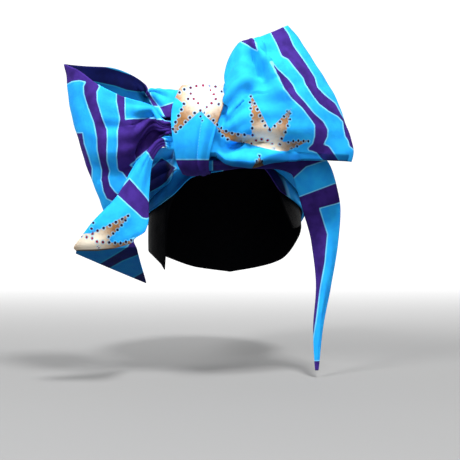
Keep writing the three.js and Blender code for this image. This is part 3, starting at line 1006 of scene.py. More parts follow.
def screen_colour(red: int, green: int, blue: int) -> Colour:
    """A colour of the screen, 0 to 255, as linear light.

    Args:
        red: the red share.
        green: the green share.
        blue: the blue share.

    Returns:
        The colour, opaque.
    """

    def linear(value: int) -> float:
        """One share as linear light."""
        share = value / 255
        return share / 12.92 if share <= 0.04045 else ((share + 0.055) / 1.055) ** 2.4

    return (linear(red), linear(green), linear(blue), 1.0)


@dataclass(frozen=True)
class WaxPrint:
    """The printed cotton's colours, two tints of painted shade and the sizes of its marks, in millimetres."""

    ground: Colour = (0.018, 0.42, 0.94, 1.0)
    ground_deep: Colour = (0.014, 0.34, 0.92, 1.0)
    purple: Colour = screen_colour(62, 38, 128)
    purple_deep: Colour = screen_colour(48, 28, 104)
    halo: Colour = screen_colour(118, 206, 250)
    heart: Colour = screen_colour(240, 230, 210)
    sand: Colour = screen_colour(120, 80, 48)
    arm: Colour = screen_colour(152, 108, 66)
    dot: Colour = screen_colour(26, 8, 44)
    # Painted shade: tints that multiply the print where a sheet's shade field is set, the second on the
    # starfish.
    reverse: Colour = (0.04, 0.25, 0.31, 1.0)
    painted_shade_star: Colour = (0.1, 0.08, 0.07, 1.0)
    dot_warm: Colour = screen_colour(150, 24, 62)
    halo_width: float = 0.9
    dot_radius: float = 1.25
    pitch: float = 5.4
    cloud_scale: float = 90.0
    grain_scale: float = 340.0
    arm_fade: tuple[float, float] = (0.15, 0.8)
    dot_fade: tuple[float, float] = (0.15, 0.5)
    grain_share: float = 0.5
    ring_share: float = 0.45

    def group(self) -> bpy.types.NodeTree:
        """The node group that turns the print's fields into colour, with painted shade mixed in by the shade
        field.

        Returns:
            The group, with one named input for each field.
        """
        tree = bpy.data.node_groups.new("wax_print", "ShaderNodeTree")
        for name in ("Purple Edge", "Star Edge", "Star Heart", "Trail Edge", "Trail Count", "Reverse"):
            tree.interface.new_socket(name, in_out="INPUT", socket_type="NodeSocketFloat")
        tree.interface.new_socket("Place", in_out="INPUT", socket_type="NodeSocketVector")
        tree.interface.new_socket("Color", in_out="OUTPUT", socket_type="NodeSocketColor")
        nodes = Nodes(tree)
        given = nodes.add("NodeGroupInput")
        result = nodes.add("NodeGroupOutput")
        cloud = nodes.add("ShaderNodeTexNoise")
        cloud.inputs["Scale"].default_value = self.cloud_scale
        cloud.inputs["Detail"].default_value = 3.0
        nodes.link(given.outputs["Place"], cloud.inputs["Vector"])
        mottle = nodes.between(cloud.outputs["Fac"], 0.35, 0.7)
        ground = nodes.blend(mottle, self.ground, self.ground_deep)
        purple = nodes.blend(mottle, self.purple, self.purple_deep)
        edge = given.outputs["Purple Edge"]
        by_edge = nodes.between(edge, -self.halo_width - 0.4, -self.halo_width + 0.2)
        colour = nodes.blend(by_edge, ground, self.halo)
        colour = nodes.blend(nodes.between(edge, -0.35, 0.35), colour, purple)
        fade = nodes.between(given.outputs["Star Heart"], *self.arm_fade)
        grain = nodes.add("ShaderNodeTexNoise")
        grain.inputs["Scale"].default_value = self.grain_scale
        nodes.link(given.outputs["Place"], grain.inputs["Vector"])
        speck = nodes.math("MULTIPLY", nodes.between(grain.outputs["Fac"], 0.45, 0.7), fade)
        star = nodes.blend(fade, self.heart, self.arm)
        star = nodes.blend(nodes.math("MULTIPLY", speck, self.grain_share), star, self.sand)
        on_star = nodes.between(given.outputs["Star Edge"], -0.5, 0.3)
        colour = nodes.blend(on_star, colour, star)
        counted = nodes.math("ADD", given.outputs["Trail Count"], 0.5)
        share = nodes.math("SUBTRACT", nodes.math("FRACT", counted), 0.5)
        off_along = nodes.math("MULTIPLY", share, self.pitch)
        squares = nodes.math(
            "ADD",
            nodes.math("MULTIPLY", off_along, off_along),
            nodes.math("MULTIPLY", given.outputs["Trail Edge"], given.outputs["Trail Edge"]),
        )
        away = nodes.math("SQRT", squares)
        ring = nodes.math("SUBTRACT", 1.0, nodes.between(away, self.dot_radius + 0.5, self.dot_radius + 1.1))
        colour = nodes.blend(nodes.math("MULTIPLY", ring, self.ring_share), colour, self.halo)
        dot = nodes.math("SUBTRACT", 1.0, nodes.between(away, self.dot_radius - 0.35, self.dot_radius + 0.25))
        outer = nodes.between(given.outputs["Star Heart"], *self.dot_fade)
        colour = nodes.blend(dot, colour, nodes.blend(outer, self.dot_warm, self.dot))
        # Painted shade: the print darkened by the tints, blended in by the shade field.
        shaded_print = nodes.blend(on_star, nodes.tint(colour, self.reverse), nodes.tint(colour, self.painted_shade_star))
        nodes.link(nodes.blend(given.outputs["Reverse"], colour, shaded_print), result.inputs["Color"])
        return tree


def weave_group() -> bpy.types.NodeTree:
    """A plain weave with small rumples: its height, over a cloth map in decimetres and a place in metres.

    Returns:
        The group, with its height as the output.
    """
    tree = bpy.data.node_groups.new("plain_weave", "ShaderNodeTree")
    tree.interface.new_socket("Cloth", in_out="INPUT", socket_type="NodeSocketVector")
    tree.interface.new_socket("Place", in_out="INPUT", socket_type="NodeSocketVector")
    tree.interface.new_socket("Threads", in_out="INPUT", socket_type="NodeSocketFloat")
    tree.interface.new_socket("Rumple", in_out="INPUT", socket_type="NodeSocketFloat")
    tree.interface.new_socket("Height", in_out="OUTPUT", socket_type="NodeSocketFloat")
    nodes = Nodes(tree)
    given = nodes.add("NodeGroupInput")
    result = nodes.add("NodeGroupOutput")
    heights = []
    for direction in ("X", "Y"):
        wave = nodes.add("ShaderNodeTexWave", wave_type="BANDS", bands_direction=direction)
        nodes.link(given.outputs["Cloth"], wave.inputs["Vector"])
        nodes.link(given.outputs["Threads"], wave.inputs["Scale"])
        heights.append(wave.outputs["Fac"])
    weave = nodes.math("MULTIPLY", nodes.math("ADD", heights[0], heights[1]), 0.05)
    rumple = nodes.add("ShaderNodeTexNoise")
    rumple.inputs["Scale"].default_value = 55.0
    rumple.inputs["Detail"].default_value = 4.0
    nodes.link(given.outputs["Place"], rumple.inputs["Vector"])
    soft = nodes.math("MULTIPLY", rumple.outputs["Fac"], given.outputs["Rumple"])
    nodes.link(nodes.math("ADD", weave, soft), result.inputs["Height"])
    return tree


@dataclass(frozen=True)
class Cotton:
    """Printed cotton: a matt plain weave that carries the wax print."""

    name: str
    threads: float = 70.0
    rumple: float = 1.2
    roughness: float = 0.82
    shine: float = 0.1

    def material(self, printed: bpy.types.NodeTree, weave: bpy.types.NodeTree) -> bpy.types.Material:
        """Builds the material from the shared groups.

        Args:
            printed: the print's group.
            weave: the weave's group.

        Returns:
            The material.
        """
        material = bpy.data.materials.new(self.name)
        material.use_nodes = True
        nodes = Nodes(material.node_tree)
        shader = material.node_tree.nodes["Principled BSDF"]
        shader.inputs["Roughness"].default_value = self.roughness
        shader.inputs["Specular IOR Level"].default_value = self.shine
        place = nodes.add("ShaderNodeTexCoord").outputs["Object"]
        dye = nodes.add("ShaderNodeGroup", node_tree=printed)
        # The last field is the share of painted shade.
        for field_name in ("purple_edge", "star_edge", "star_heart", "trail_edge", "trail_count", "reverse"):
            source = nodes.add("ShaderNodeAttribute", attribute_type="GEOMETRY", attribute_name=field_name)
            nodes.link(source.outputs["Fac"], dye.inputs[field_name.replace("_", " ").title()])
        nodes.link(place, dye.inputs["Place"])
        nodes.link(dye.outputs["Color"], shader.inputs["Base Color"])
        cloth_height(nodes, weave, shader, self.threads, self.rumple)
        return material


def cloth_height(
    nodes: Nodes,
    weave: bpy.types.NodeTree,
    shader: bpy.types.Node,
    threads: float,
    rumple: float,
) -> None:
    """Adds the weave's bump to a cloth's shader.

    Args:
        nodes: the material's nodes.
        weave: the shared weave group.
        shader: the Principled BSDF.
        threads: the weave's scale.
        rumple: how strong the small rumples are.
    """
    woven = nodes.add("ShaderNodeGroup", node_tree=weave)
    woven.inputs["Threads"].default_value = threads
    woven.inputs["Rumple"].default_value = rumple
    nodes.link(nodes.add("ShaderNodeUVMap", uv_map="cloth").outputs["UV"], woven.inputs["Cloth"])
    nodes.link(nodes.add("ShaderNodeTexCoord").outputs["Object"], woven.inputs["Place"])
    bump = nodes.add("ShaderNodeBump")
    bump.inputs["Strength"].default_value = 0.5
    bump.inputs["Distance"].default_value = 0.0015
    nodes.link(woven.outputs["Height"], bump.inputs["Height"])
    nodes.link(bump.outputs["Normal"], shader.inputs["Normal"])


@dataclass(frozen=True)
class Satin:
    """Black satin: smooth, with a soft sheen along its floats."""

    name: str = "black_satin"
    colour: Colour = screen_colour(2, 3, 6)
    roughness: float = 0.6
    sheen: float = 0.03
    threads: float = 90.0
    rumple: float = 2.0

    def material(self, weave: bpy.types.NodeTree) -> bpy.types.Material:
        """Builds the material.

        Args:
            weave: the weave's group.

        Returns:
            The material.
        """
        material = bpy.data.materials.new(self.name)
        material.use_nodes = True
        nodes = Nodes(material.node_tree)
        shader = material.node_tree.nodes["Principled BSDF"]
        shader.inputs["Base Color"].default_value = self.colour
        shader.inputs["Roughness"].default_value = self.roughness
        shader.inputs["Specular IOR Level"].default_value = self.sheen
        cloth_height(nodes, weave, shader, self.threads, self.rumple)
        return material


CORNER_STRIPE = (
    (60, 60), (80, 64), (93, 79.5), (96, 81.8), (99.2, 86.6), (96.6, 92), (97, 101), (101.3, 116),
    (106.6, 129.7), (107, 138), (106.6, 150), (106.6, 160), (109.7, 170.7), (108, 178), (110.2, 185.5),
    (115, 192), (118.7, 195), (114, 201), (107.5, 198), (104, 190.7), (101.8, 180), (102.3, 169.7),
    (98.1, 149.7), (97.6, 138), (94.5, 122), (88.7, 106.6), (85, 94), (84.5, 86.6), (87, 81.8),
    (79.7, 80.3), (72.4, 81.3), (68.7, 83.4), (60, 88),
)
LEFT_BLOCK = (
    (117, 92), (125, 94), (125, 111.8), (125.5, 120.2), (133, 119.2), (145.5, 118.7), (156, 119.2),
    (170, 122.3), (178, 130), (165, 141), (149.7, 147), (140, 156), (129, 164.5), (133.4, 168),
    (128.7, 180), (123, 172), (119.2, 170.2), (118, 167.6), (117, 156), (118, 145.5), (118, 131),
    (120.2, 119), (119.2, 114), (116.6, 102),
)
LEFT_EDGE_BLOCK = (
    (66, 133), (82.9, 133), (84.5, 143.4), (88.7, 156), (92.4, 168.6), (92.2, 181), (97, 195), (75, 185),
)
NECK_PATCH = ((160, 107.6), (174, 103.4), (184, 102), (184, 121), (170, 122), (165, 116))
INSIDE_STRIP = (
    (50, 50), (80, 64), (106, 67), (135, 76), (145, 80), (148.5, 90.8), (158.8, 107), (154, 106), (145, 91.4),
    (137, 91.3), (126.6, 89.7), (115, 85.5), (102.3, 82.9), (93.9, 81.3), (70, 76),
)
LEFT_BACK_BAND = ((70, 105), (170, 118), (170, 135), (74, 140))

WIDE_STRIPE = (
    (270.7, 33), (276, 43), (282, 56.6), (288, 59.5), (294, 67.4), (303, 78.3), (305, 84.3), (312, 95),
    (318.7, 104), (328.6, 111.4), (337.5, 116.4), (342.4, 121.8), (343, 128), (345, 136.6), (348, 141),
    (349, 146), (356, 152), (356, 136), (346.4, 124.8), (340.4, 115), (334.5, 104), (323.6, 95),
    (316.7, 88), (314.2, 78.3), (304.8, 63.5), (293, 46.7), (288, 34.8), (279, 22), (266, 24),
)
NARROW_STRIPE = (
    (271, 62), (278, 76.3), (284, 89), (292, 99), (302, 108), (309, 117), (314.7, 125), (314.7, 136),
    (312.7, 143.6), (308, 148), (309, 150), (318, 151), (322.6, 145), (326.6, 136.6), (327, 129.7),
    (322.6, 121.8), (312.8, 113), (304.8, 103), (296, 93), (292.5, 85.2), (288, 79.3), (277, 69.4),
)
ROLL_PATCH = ((310, 149.5), (323.6, 144.6), (328.6, 146.5), (339, 162), (322, 160), (316.7, 152.5))
TOP_PATCH = ((238, 36), (252, 36), (258, 50.5), (250, 46.5), (242, 42.5))
RIGHT_BACK_BAND = ((225, 60), (350, 120), (352, 146), (222, 92))

RIGHT_STAR = Starfish(
    outline=(
        (251, 94), (269.7, 129.9), (291, 108), (286, 131), (281.5, 141.5), (309, 140), (297, 146),
        (287, 151.5), (279, 151.5), (264, 148.5), (252, 145.5), (243, 142.5), (228, 139.5),
        (216, 127), (226.2, 131), (244.1, 133.9),
        (252, 134.5),
    ),
    heart=(264, 146),
    reach=44,
    trails=(
        ((251, 96.7), (250.1, 102.6), (250.8, 108.9), (251.3, 115.4), (251.7, 121.4),
         (252.1, 128), (252.4, 134.5)),
        ((254.8, 103.7), (257.5, 109.8), (260, 115.7), (262.6, 121.1), (264.9, 125.5), (269.7, 129.9),
         (274.6, 126), (279.7, 122), (283.7, 116.3), (287.1, 111.1)),
        ((290, 113.3), (289.5, 119.5), (287.9, 125.7), (285.1, 132), (281.7, 138), (279.4, 144.2)),
        ((251.3, 144.2), (256.4, 139.8), (261.8, 138.4), (268.1, 139.8), (272.1, 143.9), (273.5, 149.5)),
        ((217.4, 125.2), (221.4, 128.1), (226.6, 131), (232.2, 132.8), (238.5, 133.9), (244.5, 134.2)),
        ((219.5, 131.2), (223, 136), (228, 139.4)),
        ((288.2, 141.6), (293.3, 140.4), (298.2, 140.2), (303.4, 140.6), (308, 140.9)),
        ((297.3, 145.8), (291.5, 148.6)),
    ),
)
ROLL_STAR = Starfish(
    outline=((258.9, 157.5), (266, 169), (251, 169)),
    heart=(258.5, 172),
    reach=14,
    trails=(((256.2, 161.4), (259.1, 155.6), (261.6, 161.4)), ((216.2, 155.8), (216.3, 155.9))),
)
KNOT_STAR = Starfish(
    outline=(
        (164, 108), (176, 98), (183.9, 104.2), (173, 129.3), (175, 133.5), (200.3, 110.7), (219, 129),
        (232, 128), (232, 78), (172, 78), (164, 90),
    ),
    heart=(204, 96),
    reach=40,
    trails=(
        ((179.7, 93.1), (184.5, 90.1), (190.6, 88.4), (196.5, 86.8), (203, 86.2), (209.5, 86.6),
         (215.5, 87.4)),
        ((190.8, 94.2), (188.2, 99.4), (183.9, 104.2), (181.5, 109.9), (178.7, 116),
         (175.7, 122.2), (173, 129.3)),
        ((176.1, 132.1), (180.7, 127.3), (185.8, 122.2), (190, 117.8), (194.6, 113.3), (200.3, 110.7),
         (204.3, 113.3), (208.5, 116.4), (213, 120.4), (217.5, 124.5)),
        ((193.8, 99.4), (198.1, 103.6)),
        ((210.6, 90.9), (213.9, 94.9), (215.5, 99.4), (218.5, 104.5)),
        ((211.8, 103.6), (207, 107.5)),
        ((200.3, 116.6), (202.4, 120.6)),
        ((221.5, 92.1), (224.2, 89.5)),
    ),
)
KNOT_BLOCK = ((165, 159.6), (225, 159.6), (225, 200), (165, 200))

TAIL_TOP = (
    (161, 137), (164, 140), (166, 150), (158, 162), (151.5, 159), (148, 152.5),
    (145, 150), (150, 143),
)
TAIL_BLOCK = ((129.7, 179), (117, 194), (142.3, 217.6), (147, 218.5), (152, 215), (150, 205), (146, 198.5))
TAIL_STAR = Starfish(
    outline=(
        (130, 213.5), (125.5, 220.2), (117.6, 229.7), (109, 238), (111, 242.3), (121, 242.7), (134, 239.5),
        (131, 243), (114, 247.6), (98, 250), (68, 250), (78, 235.5), (86, 233.6), (92.7, 233.2), (104, 227.5),
    ),
    heart=(92, 244),
    reach=36,
    trails=(
        ((93.7, 223), (91.8, 228.7), (92.7, 233.7), (97.8, 230.5), (103.9, 227.9), (110.1, 225.2),
         (116, 222.1),
         (122.2, 219), (128.2, 215.8)),
        ((125.5, 220.2), (121.6, 225.1), (117.6, 229.7), (113.3, 233.3), (108.8, 236.6)),
        ((81.6, 236), (86.9, 237), (92.5, 238.2), (97.2, 241.4), (103, 241.8), (109.3, 242.1), (115.4, 242.4),
         (120.6, 242.7), (126.1, 241.6), (131.3, 240), (136.6, 238.8)),
        ((98.5, 246.4), (98.6, 246.5)),
    ),
)
HEM_STRIPE = (
    (98, 264.5), (120.6, 251), (128, 246), (133.5, 238), (139, 253.5), (123, 259.6), (104.5, 270),
)
HEM_TIP = ((127, 281), (146, 270), (152, 290), (130, 290))

LONG_TAIL_TOP = ((213, 150), (345, 150), (332, 158), (306, 166), (293, 178), (262, 172), (213, 172))
LONG_TAIL_BAND = (
    (290, 200), (297, 198), (334, 184), (345, 182), (345, 200), (337, 203), (319, 208), (327, 234),
    (324.5, 262), (320, 291), (316, 321), (312.5, 344), (300, 344), (290, 250),
)
LONG_TAIL_TIP = ((300, 362), (330, 360), (330, 390), (300, 390))

WRAP_BAND_LEFT = ((176, 168), (162, 158), (146, 176), (150, 192), (161, 186), (167, 181))


@dataclass
class Bow:
    """The bow's loops and tails."""

    left_loop: Strip = field(
        default_factory=lambda: Strip(
            name="loop_left_cloth",
            node="bow_loop_left",
            slot="cotton_loops",
            side=Side.LEFT,
            reach=127.5,
            height=71,
            depth=40,
            rows=(
                Row(0.35, 0.34, 0.3, 0.32, -0.08, 0.1, 0.16, 0),
                Row(0.51, 0.43, 0.55, 0.43, -0.74, -0.1, 0.3, 10),
                Row(0.71, 0.59, 0.55, 0.58, -0.94, -0.15, 0.34, 20),
                Row(0.87, 0.81, 0.25, 0.69, -0.99, -0.3, 0.3, 45),
                Row(1, 0.94, -0.2, 0.73, -0.94, -0.5, 0.12, 90),
                Row(0.901, 0.954, -0.5, 0.68, -0.91, -0.75, 0.2, 150),
                Row(0.727, 0.963, -0.72, 0.61, -0.81, -0.9, 0.28, 175),
                Row(0.445, 0.755, -0.85, 0.4, -0.34, -0.85, 0.16, 180),
                Row(0.365, 0.42, -0.22, 0.38, -0.28, -0.72, 0.08, 180, 0.5),
            ),
            front=Sector(9, -9, 1),
            back=Sector(14, 186, 3),
            creases=(
                Crease(0.12, 0.92, 0.22, 0.7, -8, 6, 10),
                Crease(0.22, 0.7, 0.36, 0.77, -7, 6, 11),
                Crease(0.3, 0.715, 0.42, 0.7, -3, 9, 5),
                Crease(0.1, 0.3, 0.22, 0.3, -4, 5, 8),
                Crease(0.13, 0.1, 0.2, 0.12, 3.5, 8, 8),
                Crease(0.275, 0.32, 0.325, 0.34, -2.5, 5, 5),
                Crease(0.272, 0.03, 0.272, 0.26, -2, 4, 6),
                Crease(0.74, 0.2, 0.84, 0.5, 4, 12, 6),
            ),
            printed=Print(
                patches=(
                    Patch(CORNER_STRIPE),
                    Patch(LEFT_BLOCK),
                    Patch(LEFT_EDGE_BLOCK),
                    Patch(NECK_PATCH, Layer.BACK),
                    Patch(INSIDE_STRIP, Layer.BACK),
                    Patch(LEFT_BACK_BAND, Layer.BACK),
                ),
            ),
            columns=84,
        )
    )
    right_loop: Strip = field(
        default_factory=lambda: Strip(
            name="loop_right_cloth",
            node="bow_loop_right",
            slot="cotton_loops",
            side=Side.RIGHT,
            reach=141.5,
            height=101,
            depth=40,
            rows=(
                Row(0.155, 0.56, -0.05, 0.17, -0.27, 0.42, 0.4, 0),
                Row(0.258, 0.84, 0.1, 0.3, -0.29, 0.55, 0.5, 5),
                Row(0.335, 0.86, 0.17, 0.49, -0.25, 0.55, 0.5, 12),
                Row(0.447, 0.92, 0.1, 0.74, -0.24, 0.35, 0.42, 40, corner=0.005),
                Row(0.56, 1.01, -0.2, 0.97, -0.24, -0.1, 0.32, 88, corner=0.023),
                Row(0.52, 0.99, -0.55, 0.92, -0.12, -0.55, 0.26, 130, corner=0.011),
                Row(0.4, 0.89, -0.75, 0.66, -0.04, -0.65, 0.2, 175),
                Row(0.26, 0.76, -0.82, 0.34, -0.02, -0.65, 0.12, 180),
            ),
            front=Sector(84, -44, 3),
            back=Sector(97, 186, 2),
            creases=(
                Crease(0.055, 0.95, 0.13, 0.84, -10, 4, 8),
                Crease(0.13, 0.84, 0.2, 0.872, -9, 4, 9),
                Crease(0.2, 0.872, 0.29, 0.938, -8, 4, 9),
                Crease(0.29, 0.938, 0.38, 0.96, -4, 4, 7),
                Crease(0.09, 0.95, 0.2, 0.95, 8, 7, 6),
                Crease(0.2, 0.95, 0.3, 0.98, 5, 6, 5),
                Crease(0.05, 0.43, 0.19, 0.45, -4.5, 13, 6),
                Crease(0.19, 0.45, 0.27, 0.38, -4, 12, 6),
                Crease(0.08, 0.34, 0.2, 0.36, 3.5, 10, 12),
                Crease(0.262, 0.1, 0.28, 0.25, 5, 9, 3),
                Crease(0.28, 0.25, 0.291, 0.41, 5, 9, 3),
                Crease(0.291, 0.41, 0.3, 0.5, 3, 9, 4),
                Crease(0.3, 0.14, 0.315, 0.45, -4, 5, 9),
                Crease(0.232, 0.17, 0.24, 0.27, -12, 9, 9),
            ),
            printed=Print(
                patches=(
                    Patch(WIDE_STRIPE),
                    Patch(NARROW_STRIPE),
                    Patch(ROLL_PATCH),
                    Patch(TOP_PATCH),
                    Patch(RIGHT_BACK_BAND, Layer.BACK),
                ),
                starfish=(RIGHT_STAR, ROLL_STAR),
            ),
            # Painted shade along the loop's rolled lower edge, on its first half.
            turned=PaintedShade(across=0.96, until=0.46),
            columns=90,
        )
    )
    left_tail: Strip = field(
        default_factory=lambda: Strip(
            name="tail_left_cloth",
            node="tail_left",
            slot="cotton_tails",
            side=Side.LEFT,
            reach=112,
            height=136,
            depth=40,
            rows=(
                Row(0.32, -0.04, 0.63, 0.295, -0.09, 0.55, 0.04, 0),
                Row(0.426, -0.129, 0.7, 0.375, -0.176, 0.64, 0.05, 0),
                Row(0.527, -0.232, 0.75, 0.4, -0.284, 0.62, 0.08, 0),
                Row(0.645, -0.414, 0.8, 0.41, -0.445, 0.7, 0.12, 0),
                Row(0.846, -0.595, 0.85, 0.406, -0.568, 0.8, 0.13, 0),
                Row(0.928, -0.679, 0.8, 0.428, -0.646, 0.85, 0.08, 0),
                Row(0.997, -0.753, 0.72, 0.52, -0.71, 0.86, 0.04, 0),
                Row(0.99, -0.77, 0.55, 0.5, -0.77, 0.7, 0, 0),
                Row(1, -0.79, 0.45, 0.484, -1.01, -0.8, 0.06, 0),
            ),
            # Painted shade on the tail's turned-under end.
            turned=PaintedShade(along=0.79),
            front=Sector(-13, -32, 1),
            gathers=Gathers(count=3, height=1.0, reach=26, slack=0.4, both_ends=False),
            printed=Print(
                patches=(Patch(TAIL_TOP), Patch(TAIL_BLOCK), Patch(HEM_STRIPE), Patch(HEM_TIP)),
                starfish=(TAIL_STAR,),
            ),
            columns=40,
        )
    )
    right_tail: Strip = field(
        default_factory=lambda: Strip(
            name="tail_right_cloth",
            node="tail_right",
            slot="cotton_tails",
            side=Side.RIGHT,
            reach=131.5,
            height=222,
            depth=36,
            rows=(
                Row(0.42, -0.06, -0.44, 0.3, -0.13, -0.4, 0.05, 0),
                Row(0.7, -0.07, -0.5, 0.5, -0.13, -0.56, 0.1, 0),
                Row(0.88, -0.09, -0.6, 0.64, -0.15, -0.76, 0.16, 0),
                Row(0.97, -0.2, -0.85, 0.69, -0.22, -0.94, 0.2, 0),
                Row(1.0, -0.31, -0.92, 0.74, -0.32, -1.0, 0.2, 0),
                Row(0.985, -0.44, -0.95, 0.795, -0.44, -1.0, 0.2, 0),
                Row(0.93, -0.64, -0.97, 0.83, -0.64, -1.0, 0.16, 0),
                Row(0.87, -0.83, -0.97, 0.81, -0.83, -1.0, 0.08, 0),
                Row(0.845, -1.0, -1.0, 0.82, -1.0, -1.0, 0, 0),
            ),
            front=Sector(-54, -92, 1),
            gathers=Gathers(count=2.5, height=0.8, reach=40, slack=0.4, both_ends=False),
            # Painted shade on the tail's neck under the loop, fading out by 0.41 of its length.
            turned=PaintedShade(before=0.41),
            printed=Print(patches=(Patch(LONG_TAIL_TOP), Patch(LONG_TAIL_BAND), Patch(LONG_TAIL_TIP))),
            columns=30,
        )
    )

    def build(self, material: bpy.types.Material) -> list[bpy.types.Object]:
        """Makes the loops and tails.

        Args:
            material: the printed cotton.

        Returns:
            The finished objects.
        """
        strips = (self.left_loop, self.right_loop, self.left_tail, self.right_tail)
        return [strip.build(material) for strip in strips]


@dataclass
class Knot:
    """The knot: a ring of cloth round the necks, with soft lengthwise folds."""

    around: int = 150
    across: int = 44
    # Painted shade on the knot's lower part: darkened below this height, over this blend, by this share.
    shade_below_z: float = 76.0
    shade_below_blend: float = 14.0
    shade_below_share: float = 0.6
    rounding: float = 0.35
    front_turn: float = 110.0
    seam_turn: float = 100.0
    seam_column: int = 15
    seam_low: float = 74.0
    folds: tuple[tuple[float, float, float], ...] = (
        (-0.62, 0.16, 0.9), (-0.2, 0.2, 0.7), (0.3, 0.1, -1.5), (0.56, 0.16, 1.0), (0.86, 0.1, -0.6),
    )
    printed: Print = field(
        default_factory=lambda: Print(patches=(Patch(KNOT_BLOCK),), starfish=(KNOT_STAR,))
    )

    def build(self, material: bpy.types.Material) -> bpy.types.Object:
        """Makes the knot's ring as one wall whose inside is the necks' cavity.

        Args:
            material: the printed cotton.

        Returns:
            The finished object.
        """
        turn, share = np.meshgrid(
            np.linspace(-180, 180, self.around, endpoint=False),
            np.linspace(1, -1, self.across + 1),
            indexing="ij",
        )
        half, shift = KNOT_SHAPE.span(turn)
        x = KNOT_X + shift + share * half
        swell = KNOT_THICKNESS * (1 - self.rounding * share**2)
        front = np.cos(np.radians(turn) / 2)
        for place, width, height in self.folds:
            bend = place + 0.06 * np.sin(np.radians(turn) * 1.6)
            swell = swell + height * front * np.exp(-(((share - bend) / width) ** 2))
        middle = cavity_point(x, turn, -swell + COTTON / 2)
        layers = np.full(turn.shape, Layer.FRONT.value)
        layers[np.abs(turn) > self.front_turn] = Layer.BACK.value
        fields = self.printed.attributes(middle, layers)
        # Painted shade on the knot's lower part, which faces down.
        painted_shade_below = self.shade_below_share * smooth_step(self.shade_below_z - middle[..., 2], 0, self.shade_below_blend)
        sheet = Sheet("knot_cloth", middle, COTTON, closed=True, fields=fields, turned=painted_shade_below)
        seamed = (np.abs(turn) < self.seam_turn) & (middle[..., 2] > self.seam_low)
        sheet.seam = seamed & (np.arange(self.across + 1) == self.seam_column)
        return dress(sheet, material, "knot", Seam())


@dataclass
class SideWrap:
    """A strip in lengthwise folds, from the nape round one side of the head into the knot."""

    name: str
    node: str
    side: Side
    turns: tuple[float, ...]
    lows: tuple[float, ...]
    highs: tuple[float, ...]
    stands: tuple[float, ...]
    sector: Sector
    lift: float
    printed: Print
    # Painted shade on the wrap's front end under the bow: it grows from this distance in front of the head's
    # middle, over this length, to this share.
    front_shade_from: float = 60.0
    front_shade_length: float = 22.0
    front_shade_share: float = 0.8
    folds: int = 3
    columns: int = 44
    step: float = 2.4
    turn_step: float = 6.0

    def section(self, turned: float, across: np.ndarray) -> np.ndarray:
        """The points of a section at a turn from the front, past 180 beyond the nape.

        Args:
            turned: the turn, in degrees.
            across: shares across the cloth, 0 to 1.

        Returns:
            The points, in millimetres.
        """
        azimuth = min(turned, 180.0)
        swell = SIDE_FOLD * np.abs(np.sin(self.folds * math.pi * across)) * np.sin(math.pi * across)
        swell = swell * smooth_step(180 - azimuth, 22, 50)
        lift = self.lift * (1 - smooth_step(180 - azimuth, NAPE_LAP + 6, NAPE_LAP + 30))
        low = float(curve_through(self.turns, self.lows, [azimuth])[0])
        high = float(curve_through(self.turns, self.highs, [azimuth])[0])
        height = (high + (low - high) * across) * HEAD_RISE
        loose = float(curve_through(self.turns, self.stands, [azimuth])[0]) * np.cos(math.pi / 2 * across)
        return head_point(self.side.value * turned, height, SIDE_CLEARANCE + lift + swell + loose)

    def build(self, material: bpy.types.Material) -> bpy.types.Object:
        """Makes the wrap.

        Args:
            material: the printed cotton.

        Returns:
            The finished object.
        """
        across = np.linspace(0, 1, self.columns + 1)
        turned = np.arange(180 + NAPE_LAP, self.turns[0] + 2, -self.turn_step)
        sections = [self.section(float(turn), across) for turn in turned]
        sections.append(self.section(self.turns[0], across))
        sections += neck_sections(self.sector, self.side, across)[::-1]
        grid = loft(sections, self.step)
        layers = np.where(grid[..., 1] < 0, Layer.FRONT.value, Layer.BACK.value)
        fields = self.printed.attributes(grid, layers)
        # Painted shade on the front end, under the bow.
        turned = self.front_shade_share * smooth_step(-grid[..., 1], self.front_shade_from, self.front_shade_from + self.front_shade_length)
        sheet = Sheet(self.name, grid, COTTON, fields=fields, turned=turned)
        return dress(sheet, material, self.node)


